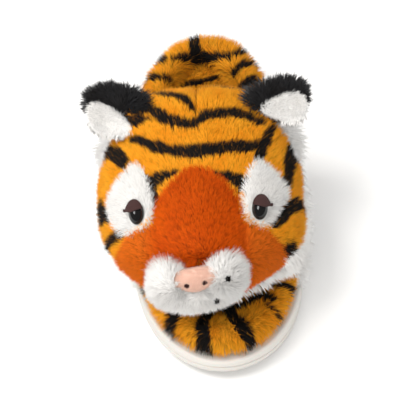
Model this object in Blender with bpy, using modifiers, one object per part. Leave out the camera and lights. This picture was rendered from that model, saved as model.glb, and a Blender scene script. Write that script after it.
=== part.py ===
"""Plush slide slipper for the right foot, with a stuffed tiger face over the instep.

The slipper stands on its sole with the toe towards -Y, the heel towards +Y and the
inner, big-toe side towards +X. Lengths are in metres. Every section is worked out from
the sizes below. The tables hold shares of those sizes, one row for each section.
"""

import math

import bmesh
import bpy
import numpy as np
from mathutils import Matrix, Vector
from mathutils.bvhtree import BVHTree
from mathutils.geometry import delaunay_2d_cdt

MM = 0.001
GAP = 0.3 * MM
SOLE_SEAT = 0.55 * MM

# Sole
LENGTH = 263 * MM
BALL_WIDTH = 110 * MM
HEEL_WIDTH = 84 * MM
TOE_ROUND = 82 * MM
HEEL_ROUND = 60 * MM
HEEL_CENTRE = 1 * MM
TOE_SHIFT = 11 * MM
FOREFOOT_THICKNESS = 18 * MM
HEEL_THICKNESS = 28 * MM
TOE_SPRING = 6 * MM
ARCH_LIFT = 2 * MM
EDGE_RADIUS = 5 * MM
EDGE_MARGIN = 9 * MM
TOP_RADIUS = 2 * MM
GROOVE_HEIGHT = 7 * MM
GROOVE_WIDTH = 1.6 * MM
GROOVE_DEPTH = 0.7 * MM

# Padded rim and footbed
TOE_LEDGE = 7.5 * MM
HEEL_LEDGE = 5 * MM
RIM_WIDTH = 16 * MM
TOE_RIM_WIDTH = 20 * MM
RIM_HEIGHT = 17 * MM
FOOTBED_THICKNESS = 9 * MM
FOOTBED_EDGE = 6 * MM
FOOTBED_ROUND = 5 * MM

# Upper: the arched band over the instep
BAND_FRONT = 58 * MM
THROAT_SETBACK = 110 * MM
INSTEP_HEIGHT = 70 * MM
FRONT_HEIGHT = 47 * MM
TOE_HEIGHT = 34 * MM
INSTEP_SHIFT = 4 * MM
WALL = 3 * MM
WALL_INSET = 1.6 * MM
ARCH_POWER = 2.4

# Head
HEAD_WIDTH = 125 * MM
HEAD_STUFFING = 22 * MM
CHIN_SETBACK = 24 * MM
CHIN_BLEND = 26 * MM
CHIN_UNDER = 0.84
THROAT_OVERLAP = 2 * MM
RUFF_LOCK = 3 * MM
RUFF_LOCKS = 13
HEAD_SEAT = 0.6 * MM

# Face, from the head's middle line and its front
PANEL = 2.2 * MM
PANEL_SINK = 0.6 * MM
PANEL_GRID = 8 * MM
EYE_SPREAD = 37 * MM
EYE_SETBACK = 41.5 * MM
EYE_WIDTH = 10 * MM
EYE_LENGTH = 15 * MM
EYE_DEPTH = 4.5 * MM
LID_THICKNESS = 1.3 * MM
MUZZLE_SETBACK = 3.5 * MM
MUZZLE_RISE = 11 * MM
LOBE_SPREAD = 14.5 * MM
LOBE_WIDTH = 33 * MM
LOBE_LENGTH = 27 * MM
LOBE_HEIGHT = 28 * MM
CHIN_WIDTH = 52 * MM
CHIN_DROP = 9 * MM
MUZZLE_BLEND = 9
NOSE_WIDTH = 30 * MM
NOSE_LENGTH = 16 * MM
NOSE_DEPTH = 9 * MM
NOSE_LIFT = 3.4 * MM
NOSE_TURN = 66.0
NOSE_TILT = 42.0

# Ears
EAR_ROOT = 38 * MM
EAR_SETBACK = 16 * MM
EAR_SINK = 4.5 * MM
EAR_LENGTH = 38 * MM
EAR_WIDTH = 31 * MM
EAR_THICKNESS = 7 * MM
EAR_CUP = 5 * MM
EAR_RISE = 14.0
EAR_LEAN = 40.0
EAR_SWEEP = 6.0
EAR_LOCKS = 11
EAR_LOCK = 2 * MM
LINING_LENGTH = 33 * MM
LINING_WIDTH = 24 * MM
LINING_THICKNESS = 6 * MM
LINING_DROP = 3 * MM
LINING_LIFT = 3.4 * MM

# Sole outline. Columns: share of the length from the toe, then where the inner and the
# outer side stand between the heel's half width, 0, and the ball's half width, 1.
OUTLINE = (
    # along, inner, outer
    (0.00, 1.00, 1.00),
    (0.30, 1.00, 1.00),
    (0.45, 0.74, 0.90),
    (0.60, 0.16, 0.52),
    (0.77, -0.02, 0.08),
    (1.00, 0.00, 0.00),
)

# Sole sides. Columns: share of the length from the toe, then the underside's rise as
# shares of the toe spring and of the arch lift, and where the top line stands between
# the forefoot's thickness, 0, and the heel's, 1.
SOLE_LINES = (
    # along, spring, arch, top
    (0.00, 1.00, 0.00, 0.10),
    (0.07, 0.45, 0.00, 0.06),
    (0.17, 0.00, 0.00, 0.00),
    (0.40, 0.00, 0.00, 0.12),
    (0.46, 0.00, 0.55, 0.28),
    (0.53, 0.00, 1.00, 0.50),
    (0.60, 0.00, 0.55, 0.72),
    (0.66, 0.00, 0.00, 0.88),
    (0.80, 0.00, 0.00, 1.00),
    (1.00, 0.10, 0.00, 1.06),
)

# Head sections. Columns: share of the head's length from the chin, half width as a share
# of HEAD_WIDTH / 2, stuffing over the band as a share of HEAD_STUFFING, height of the
# widest line between lower edge and crown, and the arch angle of the lower edge.
HEAD_SECTIONS = (
    # along, width, stuffing, edge, skirt
    (0.000, 0.22, 0.10, 0.42, 48.0),
    (0.020, 0.36, 0.36, 0.42, 46.0),
    (0.055, 0.50, 0.62, 0.42, 43.0),
    (0.110, 0.66, 0.84, 0.42, 38.0),
    (0.180, 0.80, 0.97, 0.42, 32.0),
    (0.260, 0.90, 1.02, 0.43, 24.0),
    (0.350, 0.955, 1.02, 0.44, 17.0),
    (0.450, 0.995, 1.00, 0.46, 13.0),
    (0.560, 1.00, 0.98, 0.47, 12.0),
    (0.700, 0.965, 0.96, 0.48, 12.0),
    (0.820, 0.92, 0.86, 0.48, 12.0),
    (0.920, 0.84, 0.66, 0.46, 13.0),
    (1.000, 0.72, 0.26, 0.40, 15.0),
)

# Rust panel of nose bridge and cheeks, right half. Columns: distance from the middle line
# as a share of half the head's width, and station as a share of the head's length.
BRIDGE_OUTLINE = (
    # across, along
    (0.00, 0.503),
    (0.16, 0.473),
    (0.31, 0.397),
    (0.405, 0.317),
    (0.44, 0.251),
    (0.58, 0.231),
    (0.71, 0.221),
    (0.75, 0.171),
    (0.64, 0.120),
    (0.49, 0.090),
    (0.30, 0.085),
    (0.00, 0.085),
)

# White panel round an eye, right side, with the same columns.
PATCH_OUTLINE = (
    # across, along
    (0.60, 0.554),
    (0.72, 0.523),
    (0.86, 0.453),
    (0.87, 0.377),
    (0.80, 0.297),
    (0.70, 0.251),
    (0.57, 0.256),
    (0.47, 0.282),
    (0.45, 0.337),
    (0.47, 0.418),
    (0.52, 0.498),
)


def shares(table, along):
    """Columns of a table at the given shares, by cubics through its rows that never overshoot."""
    rows = np.array(table, float)
    x, y = rows[:, 0], rows[:, 1:]
    step = np.diff(x)[:, None]
    slope = np.diff(y, axis=0) / step
    meet = slope[:-1] * slope[1:]
    tangent = np.zeros_like(y)
    safe = np.where(meet > 0, slope[:-1] + slope[1:], 1.0)
    tangent[1:-1] = np.where(meet > 0, 2 * meet / safe, 0.0)
    tangent[0], tangent[-1] = slope[0], slope[-1]
    along = np.clip(np.asarray(along, float), x[0], x[-1])
    i = np.clip(np.searchsorted(x, along) - 1, 0, len(x) - 2)
    t = ((along - x[i]) / step[i, 0])[..., None]
    return (
        y[i] * (1 + 2 * t) * (1 - t) ** 2
        + y[i + 1] * t**2 * (3 - 2 * t)
        + tangent[i] * step[i] * t * (1 - t) ** 2
        - tangent[i + 1] * step[i] * t**2 * (1 - t)
    )


def share_at(y):
    """Share of the length from the toe at world y."""
    return np.clip((np.asarray(y, float) + LENGTH / 2) / LENGTH, 0.0, 1.0)


def centre_line(along):
    """The sole's middle, which swings to the inner side from heel to toe in one soft bend."""
    bend = 0.5 + 0.5 * np.cos(math.pi * np.clip(along / 0.85, 0.0, 1.0))
    return HEEL_CENTRE + TOE_SHIFT * bend


def half_widths(along):
    """Inner and outer half widths of the sole, with elliptic toe and heel."""
    table = shares(OUTLINE, along)
    half = HEEL_WIDTH / 2 + table * (BALL_WIDTH - HEEL_WIDTH) / 2
    toe = np.clip(1 - along * LENGTH / TOE_ROUND, 0.0, 1.0)
    heel = np.clip(1 - (1 - along) * LENGTH / HEEL_ROUND, 0.0, 1.0)
    ends = np.sqrt(np.clip(1 - toe**2, 0, 1)) * np.sqrt(np.clip(1 - heel**2, 0, 1))
    return half[..., 0] * ends, half[..., 1] * ends


def underside(y):
    spring, arch, _ = shares(SOLE_LINES, share_at(y)).T
    return TOE_SPRING * spring + ARCH_LIFT * arch


def sole_top(y):
    top = shares(SOLE_LINES, share_at(y)).T[2]
    return FOREFOOT_THICKNESS + top * (HEEL_THICKNESS - FOREFOOT_THICKNESS)


def outline_ring(count, inset):
    """Closed ring of the sole's outline, moved inwards: point k and count - k face each other."""
    fine = 8 * count
    turn = 2 * math.pi * np.arange(fine) / fine
    along = (1 - np.cos(turn)) / 2
    inner, outer = half_widths(along)
    side = np.where(turn <= math.pi, inner, -outer)
    ring = np.stack([centre_line(along) + side, (along - 0.5) * LENGTH], 1)
    ahead = np.roll(ring, -1, axis=0) - np.roll(ring, 1, axis=0)
    ahead /= np.linalg.norm(ahead, axis=1)[:, None]
    inward = np.stack([-ahead[:, 1], ahead[:, 0]], 1)
    inset = np.broadcast_to(inset, (count,))[:, None]
    return ring[::8] + inward[::8] * inset


def arch(y, angle, swell):
    """Point of the band's inner arch at station y, grown outwards by swell.

    The arch is a superellipse over the last. Angle 0 is its inner foot and pi its outer foot,
    and its crown leans to the inner side by INSTEP_SHIFT.
    """
    along = share_at(y)
    inner, outer = half_widths(along)
    inset = WALL_INSET + WALL
    foot_in = centre_line(along) + inner - inset
    foot_out = centre_line(along) - outer + inset
    half = (foot_in - foot_out) / 2 + swell
    rows = (
        (0.0, TOE_HEIGHT),
        (BAND_FRONT / LENGTH, FRONT_HEIGHT),
        (1 - THROAT_SETBACK / LENGTH, INSTEP_HEIGHT),
        (1.0, INSTEP_HEIGHT),
    )
    height = shares(rows, along)[..., 0] + swell
    cos, sin = np.cos(angle), np.sin(angle)
    x = np.sign(cos) * np.abs(cos) ** (2 / ARCH_POWER) * half
    rise = np.abs(sin) ** (2 / ARCH_POWER)
    x = (foot_in + foot_out) / 2 + x + INSTEP_SHIFT * rise * rise
    return x, sole_top(y) + GAP + height * rise


def add_object(name, mesh, colour, roughness, angle=40):
    """Object with its own material, shaded smooth except at sharp edges."""
    mesh.shade_smooth()
    mesh.set_sharp_from_angle(angle=math.radians(angle))
    material = bpy.data.materials.new(name)
    material.use_nodes = True
    shader = material.node_tree.nodes["Principled BSDF"]
    shader.inputs["Base Color"].default_value = (*colour, 1.0)
    shader.inputs["Roughness"].default_value = roughness
    shader.inputs["Metallic"].default_value = 0.0
    mesh.materials.append(material)
    ob = bpy.data.objects.new(name, mesh)
    parts.objects.link(ob)
    return ob


def mesh_from(name, points, faces):
    """Mesh with its faces turned outwards."""
    mesh = bpy.data.meshes.new(name)
    mesh.from_pydata([tuple(p) for p in points], [], faces)
    bm = bmesh.new()
    bm.from_mesh(mesh)
    bmesh.ops.remove_doubles(bm, verts=bm.verts, dist=0.02 * MM)
    bmesh.ops.recalc_face_normals(bm, faces=bm.faces)
    bm.to_mesh(mesh)
    bm.free()
    return mesh


def ring_faces(rings, count):
    """Quads between stacked rings of count points."""
    return [
        (r * count + k, r * count + (k + 1) % count, (r + 1) * count + (k + 1) % count, (r + 1) * count + k)
        for r in range(rings - 1)
        for k in range(count)
    ]


def slab(name, levels, count, height_of, columns=6):
    """Closed slab from rings of (inset, height rule), from the underside out, up and back in.

    The first and last rings are closed across, from each inner point to the outer point
    that faces it, with extra points on the way so the closing surface follows its rule too.
    """
    points = []
    for inset, rule in levels:
        ring = outline_ring(count, inset)
        points.extend((x, y, z) for (x, y), z in zip(ring, height_of(rule, ring[:, 1])))
    faces = ring_faces(len(levels), count)
    for level in (0, len(levels) - 1):
        base = level * count
        rows = [[base] * (columns + 1)]
        for k in range(1, count // 2):
            a, b = np.array(points[base + k]), np.array(points[base + count - k])
            inside = [a + (b - a) * c / columns for c in range(1, columns)]
            first = len(points)
            heights = height_of(levels[level][1], np.array([p[1] for p in inside]))
            points.extend((p[0], p[1], z) for p, z in zip(inside, heights))
            rows.append([base + k, *range(first, first + columns - 1), base + count - k])
        rows.append([base + count // 2] * (columns + 1))
        for one, two in zip(rows, rows[1:]):
            for c in range(columns):
                corner = list(dict.fromkeys((one[c], one[c + 1], two[c + 1], two[c])))
                faces.append(tuple(corner))
    return mesh_from(name, points, faces)


def make_sole():
    """Moulded sole: rounded bottom edge, fine groove round its side, and a ledge on top."""

    def height(rule, y):
        kind, offset = rule
        return (underside(y) if kind == "under" else sole_top(y)) + offset

    levels = [(EDGE_RADIUS + EDGE_MARGIN, ("under", 0.0))]
    for step in range(4):
        a = math.radians(30 * step)
        levels.append((EDGE_RADIUS * (1 - math.sin(a)), ("under", EDGE_RADIUS * (1 - math.cos(a)))))
    for inset, rise in (
        (0.0, 0.0),
        (GROOVE_DEPTH, 0.25),
        (GROOVE_DEPTH, 0.75),
        (0.0, 1.0),
    ):
        levels.append((inset, ("under", GROOVE_HEIGHT + GROOVE_WIDTH * rise)))
    for step in range(3):
        a = math.radians(45 * step)
        levels.append((TOP_RADIUS * (1 - math.cos(a)), ("top", TOP_RADIUS * (math.sin(a) - 1))))
    levels.append((TOE_LEDGE + RIM_WIDTH, ("top", 0.0)))
    add_object("sole", slab("sole", levels, 60, height), (0.86, 0.85, 0.82), 0.55)


def rim_width(y):
    """The rim is fuller round the toe, where it shows in front of the chin."""
    toe = np.clip(1 - share_at(y) / 0.30, 0.0, 1.0)
    return RIM_WIDTH + (TOE_RIM_WIDTH - RIM_WIDTH) * toe * toe * (3 - 2 * toe)


def ledge(y):
    """Width of the sole's top left bare outside the rim."""
    back = np.clip(share_at(y) / 0.45, 0.0, 1.0)
    return TOE_LEDGE + (HEEL_LEDGE - TOE_LEDGE) * back * back * (3 - 2 * back)


def make_rim():
    """Padded tube that runs once round the footbed, flattened where it lies on the sole."""
    count, sides = 60, 10
    path = outline_ring(count, 0.0)
    width = rim_width(path[:, 1])
    points = []
    for k in range(sides):
        a = 2 * math.pi * (k + 0.5) / sides
        across, up = math.cos(a), math.sin(a)
        inset = ledge(path[:, 1]) + width / 2 + across * width / 2
        ring = outline_ring(count, inset)
        squash = 0.62 if up < 0 else 1.0
        lift = RIM_HEIGHT * (0.62 + up * squash) / (1.62 * math.sin(math.radians(72)))
        low = RIM_HEIGHT * (0.62 - 0.62 * math.sin(math.radians(72))) / 1.62
        z = sole_top(ring[:, 1]) + SOLE_SEAT + lift - low
        points.extend(zip(ring[:, 0], ring[:, 1], z))
    faces = ring_faces(sides, count)
    last = (sides - 1) * count
    faces += [(last + k, last + (k + 1) % count, (k + 1) % count, k) for k in range(count)]
    add_object("rim", mesh_from("rim", points, faces), (0.85, 0.42, 0.05), 0.9, 70)


def make_footbed():
    """Soft pad inside the rim, dished a little at the heel."""
    count = 48
    path = outline_ring(count, 0.0)
    edge = ledge(path[:, 1]) + rim_width(path[:, 1]) + GAP

    def height(rule, y):
        return sole_top(y) + SOLE_SEAT + rule

    levels = [
        (edge + FOOTBED_ROUND, 0.0),
        (edge + 0.2 * FOOTBED_ROUND, 0.0),
        (edge, 0.5 * FOOTBED_EDGE),
        (edge + 0.2 * FOOTBED_ROUND, FOOTBED_EDGE),
        (edge + FOOTBED_ROUND, FOOTBED_THICKNESS),
    ]
    add_object("footbed", slab("footbed", levels, count, height, 4), (0.85, 0.42, 0.05), 0.9)


def band_stations(count):
    return np.linspace(BAND_FRONT - LENGTH / 2, LENGTH / 2 - THROAT_SETBACK, count)


def make_upper():
    """Arched band of padded cloth over the instep, open at toe and throat and underneath."""
    stations, steps = 10, 24
    angle = np.linspace(0, math.pi, steps)
    points = []
    for y in band_stations(stations):
        x, z = arch(y, angle, 0.0)
        points.extend(zip(x, np.full(steps, y), z))
    faces = [
        (i * steps + k, i * steps + k + 1, (i + 1) * steps + k + 1, (i + 1) * steps + k)
        for i in range(stations - 1)
        for k in range(steps - 1)
    ]
    mesh = mesh_from("upper", points, faces)
    upper = add_object("upper", mesh, (0.9, 0.88, 0.84), 0.9)
    outward = mesh.polygons[len(mesh.polygons) // 2].normal.z > 0
    shell = upper.modifiers.new("wall", "SOLIDIFY")
    shell.thickness = WALL
    shell.offset = 1.0 if outward else -1.0
    shell.use_even_offset = True


def head_ends():
    """Stations of the head's front, at the chin, and of its back, at the throat."""
    return CHIN_SETBACK - LENGTH / 2, LENGTH / 2 - THROAT_SETBACK + THROAT_OVERLAP


def head_surface(stations, arc, inner_steps):
    """Points of the stuffed head, one closed ring a station.

    The outer line is two ellipse quarters on each side, from the lower edge out to the widest
    line and up to the crown. The inner line follows the band's arch, a gap outside its wall.
    """
    start, end = head_ends()
    along = (1 - np.cos(np.linspace(0.0, 1.0, stations) * math.pi * 0.82)) / (1 - math.cos(math.pi * 0.82))
    swell = WALL + HEAD_SEAT
    rings = []
    for share in along:
        y = start + share * (end - start)
        width, stuffing, edge, skirt = shares(HEAD_SECTIONS, share)
        low_angle = math.radians(skirt)
        inner_angle = np.linspace(low_angle, math.pi - low_angle, inner_steps)
        under_x, under_z = arch(y, inner_angle, swell)
        chin = np.clip((BAND_FRONT - LENGTH / 2 - y) / CHIN_BLEND, 0.0, 1.0)
        chin_x = CHIN_UNDER * width * HEAD_WIDTH / 2 * np.cos(inner_angle) / math.cos(low_angle)
        under_x = under_x + (chin_x - under_x) * chin * chin * (3 - 2 * chin)
        crown = arch(y, math.pi / 2, swell)[1] + HEAD_STUFFING * stuffing
        low = under_z[0]
        mid = low + edge * (crown - low)
        outer = []
        for sign, foot in ((1, under_x[0]), (-1, under_x[-1])):
            half = max(width * HEAD_WIDTH / 2, sign * foot + 1.5 * MM)
            tuck = math.acos(min(sign * foot / half, 0.999))
            a = np.concatenate([np.linspace(-tuck, 0, 5)[:-1], np.linspace(0, math.pi / 2, arc)])
            down = (mid - low) / math.sin(tuck)
            up = np.where(a < 0, down * np.sin(a), (crown - mid) * np.abs(np.sin(a)) ** 0.86)
            outer.append(np.stack([sign * half * np.cos(a), np.full(len(a), y), mid + up], 1))
        under = np.stack([under_x, np.full(inner_steps, y), under_z], 1)
        ring = np.concatenate([outer[0], outer[1][::-1][1:], under[::-1][1:-1]])
        rings.append(ring)
    return along, np.array(rings)


def make_head():
    """Stuffed head that rides the band like a saddle, with locks of the ruff along its sides."""
    stations, arc, inner_steps = 28, 9, 17
    along, rings = head_surface(stations, arc, inner_steps)
    outer_count = 2 * (arc + 4) - 1
    side = np.arange(rings.shape[1])
    reach = np.minimum(side, outer_count - 1 - side)
    wave = np.abs(np.mod(along * RUFF_LOCKS, 1.0) * 2 - 1)[:, None]
    fade = np.clip(1 - np.abs(reach - 2.5) / 3.5, 0, 1) * (side < outer_count)
    fade = fade[None, :] * np.clip((along - 0.22) / 0.12, 0, 1)[:, None]
    lock = RUFF_LOCK * wave * fade
    rings[..., 0] += np.sign(rings[..., 0]) * lock
    rings[..., 2] -= 0.6 * lock
    count = rings.shape[1]
    points = [tuple(p) for p in rings.reshape(-1, 3)]
    faces = ring_faces(stations, count)
    for ring in (0, stations - 1):
        base = ring * count
        # Each end is closed by strips from the outer line to the inner line under it.
        outer_line = [base + k for k in range(outer_count)]
        inner_line = [base, *range(base + count - 1, base + outer_count - 1, -1), base + outer_count - 1]
        faces += strip_between(outer_line, inner_line, points)
    return mesh_from("head", points, faces)


def strip_between(one, two, points):
    """Triangles between two lines that start and end on shared points, by the shorter diagonal."""
    faces, i, j = [], 0, 0
    spot = [Vector(p) for p in points]
    while i < len(one) - 1 or j < len(two) - 1:
        step_one = j == len(two) - 1 or (
            i < len(one) - 1
            and (spot[one[i + 1]] - spot[two[j]]).length <= (spot[one[i]] - spot[two[j + 1]]).length
        )
        face = (one[i], one[i + 1], two[j]) if step_one else (one[i], two[j + 1], two[j])
        if len(set(face)) == 3:
            faces.append(face)
        i, j = (i + 1, j) if step_one else (i, j + 1)
    return faces


def add_cutter(name, mesh):
    """Hidden tool that other solids are cut with."""
    ob = bpy.data.objects.new(name, mesh)
    ob.hide_render = True
    ob.display_type = "WIRE"
    cutters.objects.link(ob)
    return ob


def grown(name, mesh, distance):
    """Copy of a mesh moved out along its normals, used to cut what sits on it."""
    copy = mesh.copy()
    copy.name = name
    out = np.array([v.normal for v in mesh.vertices])
    at = np.array([v.co for v in mesh.vertices])
    copy.vertices.foreach_set("co", (at + out * distance).ravel())
    copy.update()
    return add_cutter(name, copy)


def cut(ob, *tools):
    for tool in tools:
        step = ob.modifiers.new(tool.name, "BOOLEAN")
        step.operation = "DIFFERENCE"
        step.solver = "EXACT"
        step.object = tool


def ellipsoid(name, centre, size, segments=16, rings=9, turn=None):
    """UV sphere stretched to the size, turned, and moved to its centre."""
    bm = bmesh.new()
    bmesh.ops.create_uvsphere(bm, u_segments=segments, v_segments=rings, radius=0.5)
    stretch = Matrix.Diagonal((*size, 1.0))
    bm.transform(Matrix.Translation(centre) @ (turn or Matrix()) @ stretch)
    mesh = bpy.data.meshes.new(name)
    bm.to_mesh(mesh)
    bm.free()
    return mesh


def face_spot(x, y):
    """The head's surface straight below a point in plan, and its normal there.

    A point past the head's edge is taken a little nearer the middle line until it meets it.
    """
    for step in range(30):
        above = Vector((x * (1 - 0.03 * step), y, 1.0))
        spot, normal, _, _ = head_tree.ray_cast(above, Vector((0, 0, -1)))
        if spot is not None:
            return spot, normal
    raise ValueError("no head below this point")


def closed_curve(rows, mirrored):
    """Smooth closed outline in plan through a table's points, by Catmull-Rom pieces."""
    start, end = head_ends()
    corner = [(a * HEAD_WIDTH / 2, start + b * (end - start)) for a, b in rows]
    if mirrored:
        corner += [(-x, y) for x, y in reversed(corner[1:-1])]
    points = np.array(corner)
    t = np.array([0.0, 0.5])[:, None]
    out = []
    for k in range(len(points)):
        p0, p1, p2, p3 = (points[(k + j - 1) % len(points)] for j in range(4))
        out.append(
            0.5 * (2 * p1 + (p2 - p0) * t + (2 * p0 - 5 * p1 + 4 * p2 - p3) * t**2 + (3 * p1 - p0 - 3 * p2 + p3) * t**3)
        )
    return np.concatenate(out)


def face_panel(name, rows, side, colour, mirrored=False):
    """Plush panel sewn over the head: a thick sheet laid through its surface, cut off a gap above it."""
    outline = closed_curve(rows, mirrored)
    outline[:, 0] *= side
    low, high = outline.min(0) + PANEL_GRID / 2, outline.max(0)
    grid = [
        Vector((x, y)) for x in np.arange(low[0], high[0], PANEL_GRID) for y in np.arange(low[1], high[1], PANEL_GRID)
    ]
    ring = [Vector(p) for p in outline]
    inside = [g for g in grid if min((g - r).length for r in ring) > 0.45 * PANEL_GRID]
    edges = [(k, (k + 1) % len(ring)) for k in range(len(ring))]
    flat, _, faces, _, _, _ = delaunay_2d_cdt(ring + inside, edges, [], 1, 0.01 * MM)
    sheet = [face_spot(p.x, p.y)[0] for p in flat]
    mesh = bpy.data.meshes.new(name)
    mesh.from_pydata([tuple(p) for p in sheet], [], [tuple(f) for f in faces])
    if sum(p.normal.z for p in mesh.polygons) < 0:
        mesh.flip_normals()
    lift = np.array([v.co - v.normal * PANEL_SINK for v in mesh.vertices])
    mesh.vertices.foreach_set("co", lift.ravel())
    mesh.update()
    panel = add_object(name, mesh, colour, 0.9)
    cloth = panel.modifiers.new("cloth", "SOLIDIFY")
    cloth.thickness = PANEL_SINK + GAP + PANEL
    cloth.offset = 1.0
    cut(panel, head_room)
    return panel


def muzzle_middle():
    """Middle of the muzzle and the middle between its lobes, set by the head's front and the arch."""
    y = head_ends()[0] + MUZZLE_SETBACK
    lobes = np.array([0.0, y, float(arch(y, math.pi / 2, 0.0)[1]) + MUZZLE_RISE])
    return lobes - (0.0, 0.0, CHIN_DROP / 2), lobes


def muzzle_reach(ray, middle, lobes, grow):
    """How far the muzzle's skin lies from its middle along each ray."""
    reach = np.zeros(len(ray))
    lobe = (LOBE_WIDTH, LOBE_LENGTH, LOBE_HEIGHT)
    chin = (CHIN_WIDTH, LOBE_LENGTH, LOBE_HEIGHT)
    for size, offset in (
        (lobe, (-LOBE_SPREAD, 0.0, 0.0)),
        (lobe, (LOBE_SPREAD, 0.0, 0.0)),
        (chin, (0.0, 0.0, -CHIN_DROP)),
    ):
        half = np.array(size) / 2 + grow
        start = (middle - lobes - offset) / half
        step = ray / half
        a, b, c = (step**2).sum(1), step @ start, start @ start - 1
        room = np.clip(b * b - a * c, 0, None)
        far = np.where(b * b > a * c, (np.sqrt(room) - b) / a, 0.0)
        reach += np.clip(far, 0, None) ** MUZZLE_BLEND
    return reach ** (1 / MUZZLE_BLEND)


def muzzle_mesh(name, grow):
    """Two lobes over a chin as one skin, grown by a distance on every side.

    Each point of a round ball is moved out along its own ray to where the ray leaves the
    three ellipsoids, with a soft maximum of the three distances, so the lobes run together.
    """
    middle, lobes = muzzle_middle()
    mesh = ellipsoid(name, (0, 0, 0), (2, 2, 2), 24, 12)
    ray = np.array([v.co for v in mesh.vertices])
    at = middle + ray * muzzle_reach(ray, middle, lobes, grow)[:, None]
    mesh.vertices.foreach_set("co", at.ravel())
    mesh.update()
    return mesh


def make_muzzle():
    """White stuffed muzzle, seated on the front of the head."""
    cut(add_object("muzzle", muzzle_mesh("muzzle", 0.0), (0.93, 0.92, 0.9), 0.9, 60), head_room)
    return add_cutter("muzzle_room", muzzle_mesh("muzzle_room", GAP))


def make_nose(*rooms):
    """Soft nose, wider above than below, on the front of the muzzle."""
    turn = Matrix.Rotation(math.radians(NOSE_TILT), 4, "X")
    mesh = ellipsoid("nose", (0, 0, 0), (NOSE_WIDTH, NOSE_LENGTH, NOSE_DEPTH), 21, 9)
    for v in mesh.vertices:
        down = -v.co.y / (NOSE_LENGTH / 2)
        v.co.x *= 1 - 0.38 * max(down, 0.0) - 0.1 * down * down
    middle, lobes = muzzle_middle()
    up = math.radians(NOSE_TURN)
    ray = np.array([[0.0, -math.cos(up), math.sin(up)]])
    skin = middle + ray[0] * (muzzle_reach(ray, middle, lobes, 0.0)[0] + NOSE_LIFT)
    mesh.transform(Matrix.Translation(skin) @ turn)
    nose = add_object("nose", mesh, (0.9, 0.6, 0.5), 0.8, 60)
    cut(nose, *rooms)


def make_eyes():
    """Glossy oval eyes on the white panels, each under a felt lid that ends in a point outside."""
    for name, side in (("left", -1), ("right", 1)):
        x, y = side * EYE_SPREAD, head_ends()[0] + EYE_SETBACK
        spot, normal = face_spot(x, y)
        seat = spot + normal * (GAP + PANEL + GAP)
        along = Vector((0, 1, 0)) - normal * normal.y
        along.normalize()
        turn = Matrix((along.cross(normal), along, normal)).transposed().to_4x4()
        eye = ellipsoid("eye", seat, (EYE_WIDTH, EYE_LENGTH, 2 * EYE_DEPTH), 16, 10, turn)
        floor_size = (3 * EYE_LENGTH, 3 * EYE_LENGTH, 2 * EYE_LENGTH)
        bm = bmesh.new()
        bmesh.ops.create_cube(bm, size=1.0)
        bm.transform(
            Matrix.Translation(seat - normal * (floor_size[2] / 2 - GAP)) @ turn @ Matrix.Diagonal((*floor_size, 1))
        )
        block = bpy.data.meshes.new("eye_floor")
        bm.to_mesh(block)
        bm.free()
        floor = add_cutter(f"eye_floor_{name}", block)
        cut(add_object(f"eye_{name}", eye, (0.01, 0.01, 0.01), 0.08), floor)
        room = 2 * GAP
        hole = ellipsoid(
            "eye_room", seat, (EYE_WIDTH + room, EYE_LENGTH + room, 2 * EYE_DEPTH + room), 16, 10, turn
        )
        thick = 2 * (GAP + LID_THICKNESS)
        lid = ellipsoid(
            "lid", seat, (EYE_WIDTH + thick, EYE_LENGTH + thick, 2 * EYE_DEPTH + thick), 16, 10, turn
        )
        bm = bmesh.new()
        bmesh.ops.create_cube(bm, size=1.0)
        tilt = Matrix.Rotation(math.radians(-14 * side), 4, "Z")
        size = (3 * EYE_LENGTH, 3 * EYE_LENGTH, 3 * EYE_LENGTH)
        bm.transform(
            Matrix.Translation(seat)
            @ turn
            @ tilt
            @ Matrix.Translation((0, -1.5 * EYE_LENGTH + 0.1 * EYE_LENGTH, 0))
            @ Matrix.Diagonal((*size, 1))
        )
        lower = bpy.data.meshes.new("lid_lower")
        bm.to_mesh(lower)
        bm.free()
        cut(
            add_object(f"eyelid_{name}", lid, (0.09, 0.05, 0.05), 0.95),
            add_cutter(f"eye_room_{name}", hole),
            add_cutter(f"lid_lower_{name}", lower),
            floor,
        )


def ear_mesh(side, length, width, thickness, lift, drop, locks):
    """Cupped oval ear, thick in the middle, with pointed locks along its outer edge."""
    segments = 44 if locks else 24
    mesh = ellipsoid("ear", (0, 0, 0), (2, 2, 2), segments, 6)
    p = np.array([v.co for v in mesh.vertices])
    around = np.arctan2(p[:, 1], p[:, 0])
    tooth = np.abs(np.mod(around / (2 * math.pi) * 2 * locks, 1.0) * 2 - 1) if locks else 0.0
    free = np.clip(np.cos(around - math.radians(55)) + 0.75, 0, 1)
    flat = np.hypot(p[:, 0], p[:, 1])
    reach = 1 + tooth * free * flat**2 * (EAR_LOCK / (width / 2))
    x = p[:, 0] * length / 2 * reach
    y = p[:, 1] * width / 2 * reach - drop
    z = p[:, 2] * thickness / 2 + lift + EAR_CUP * (x**2 + y**2) / (EAR_WIDTH / 2) ** 2
    mesh.vertices.foreach_set("co", np.stack([x, y, z], 1).ravel())
    out = Matrix.Rotation(math.radians(-EAR_RISE), 4, "Y")
    lean = Matrix.Rotation(math.radians(EAR_LEAN), 4, "X")
    sweep = Matrix.Rotation(math.radians(EAR_SWEEP), 4, "Z")
    root, _ = face_spot(EAR_ROOT, head_ends()[1] - EAR_SETBACK)
    middle = root + (sweep @ out @ Vector((1, 0, 0))) * (EAR_LENGTH / 2 - EAR_SINK)
    mesh.transform(Matrix.Translation(middle) @ sweep @ out @ lean)
    if side < 0:
        mesh.transform(Matrix.Diagonal((-1, 1, 1, 1)))
        mesh.flip_normals()
    mesh.update()
    return mesh


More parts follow.
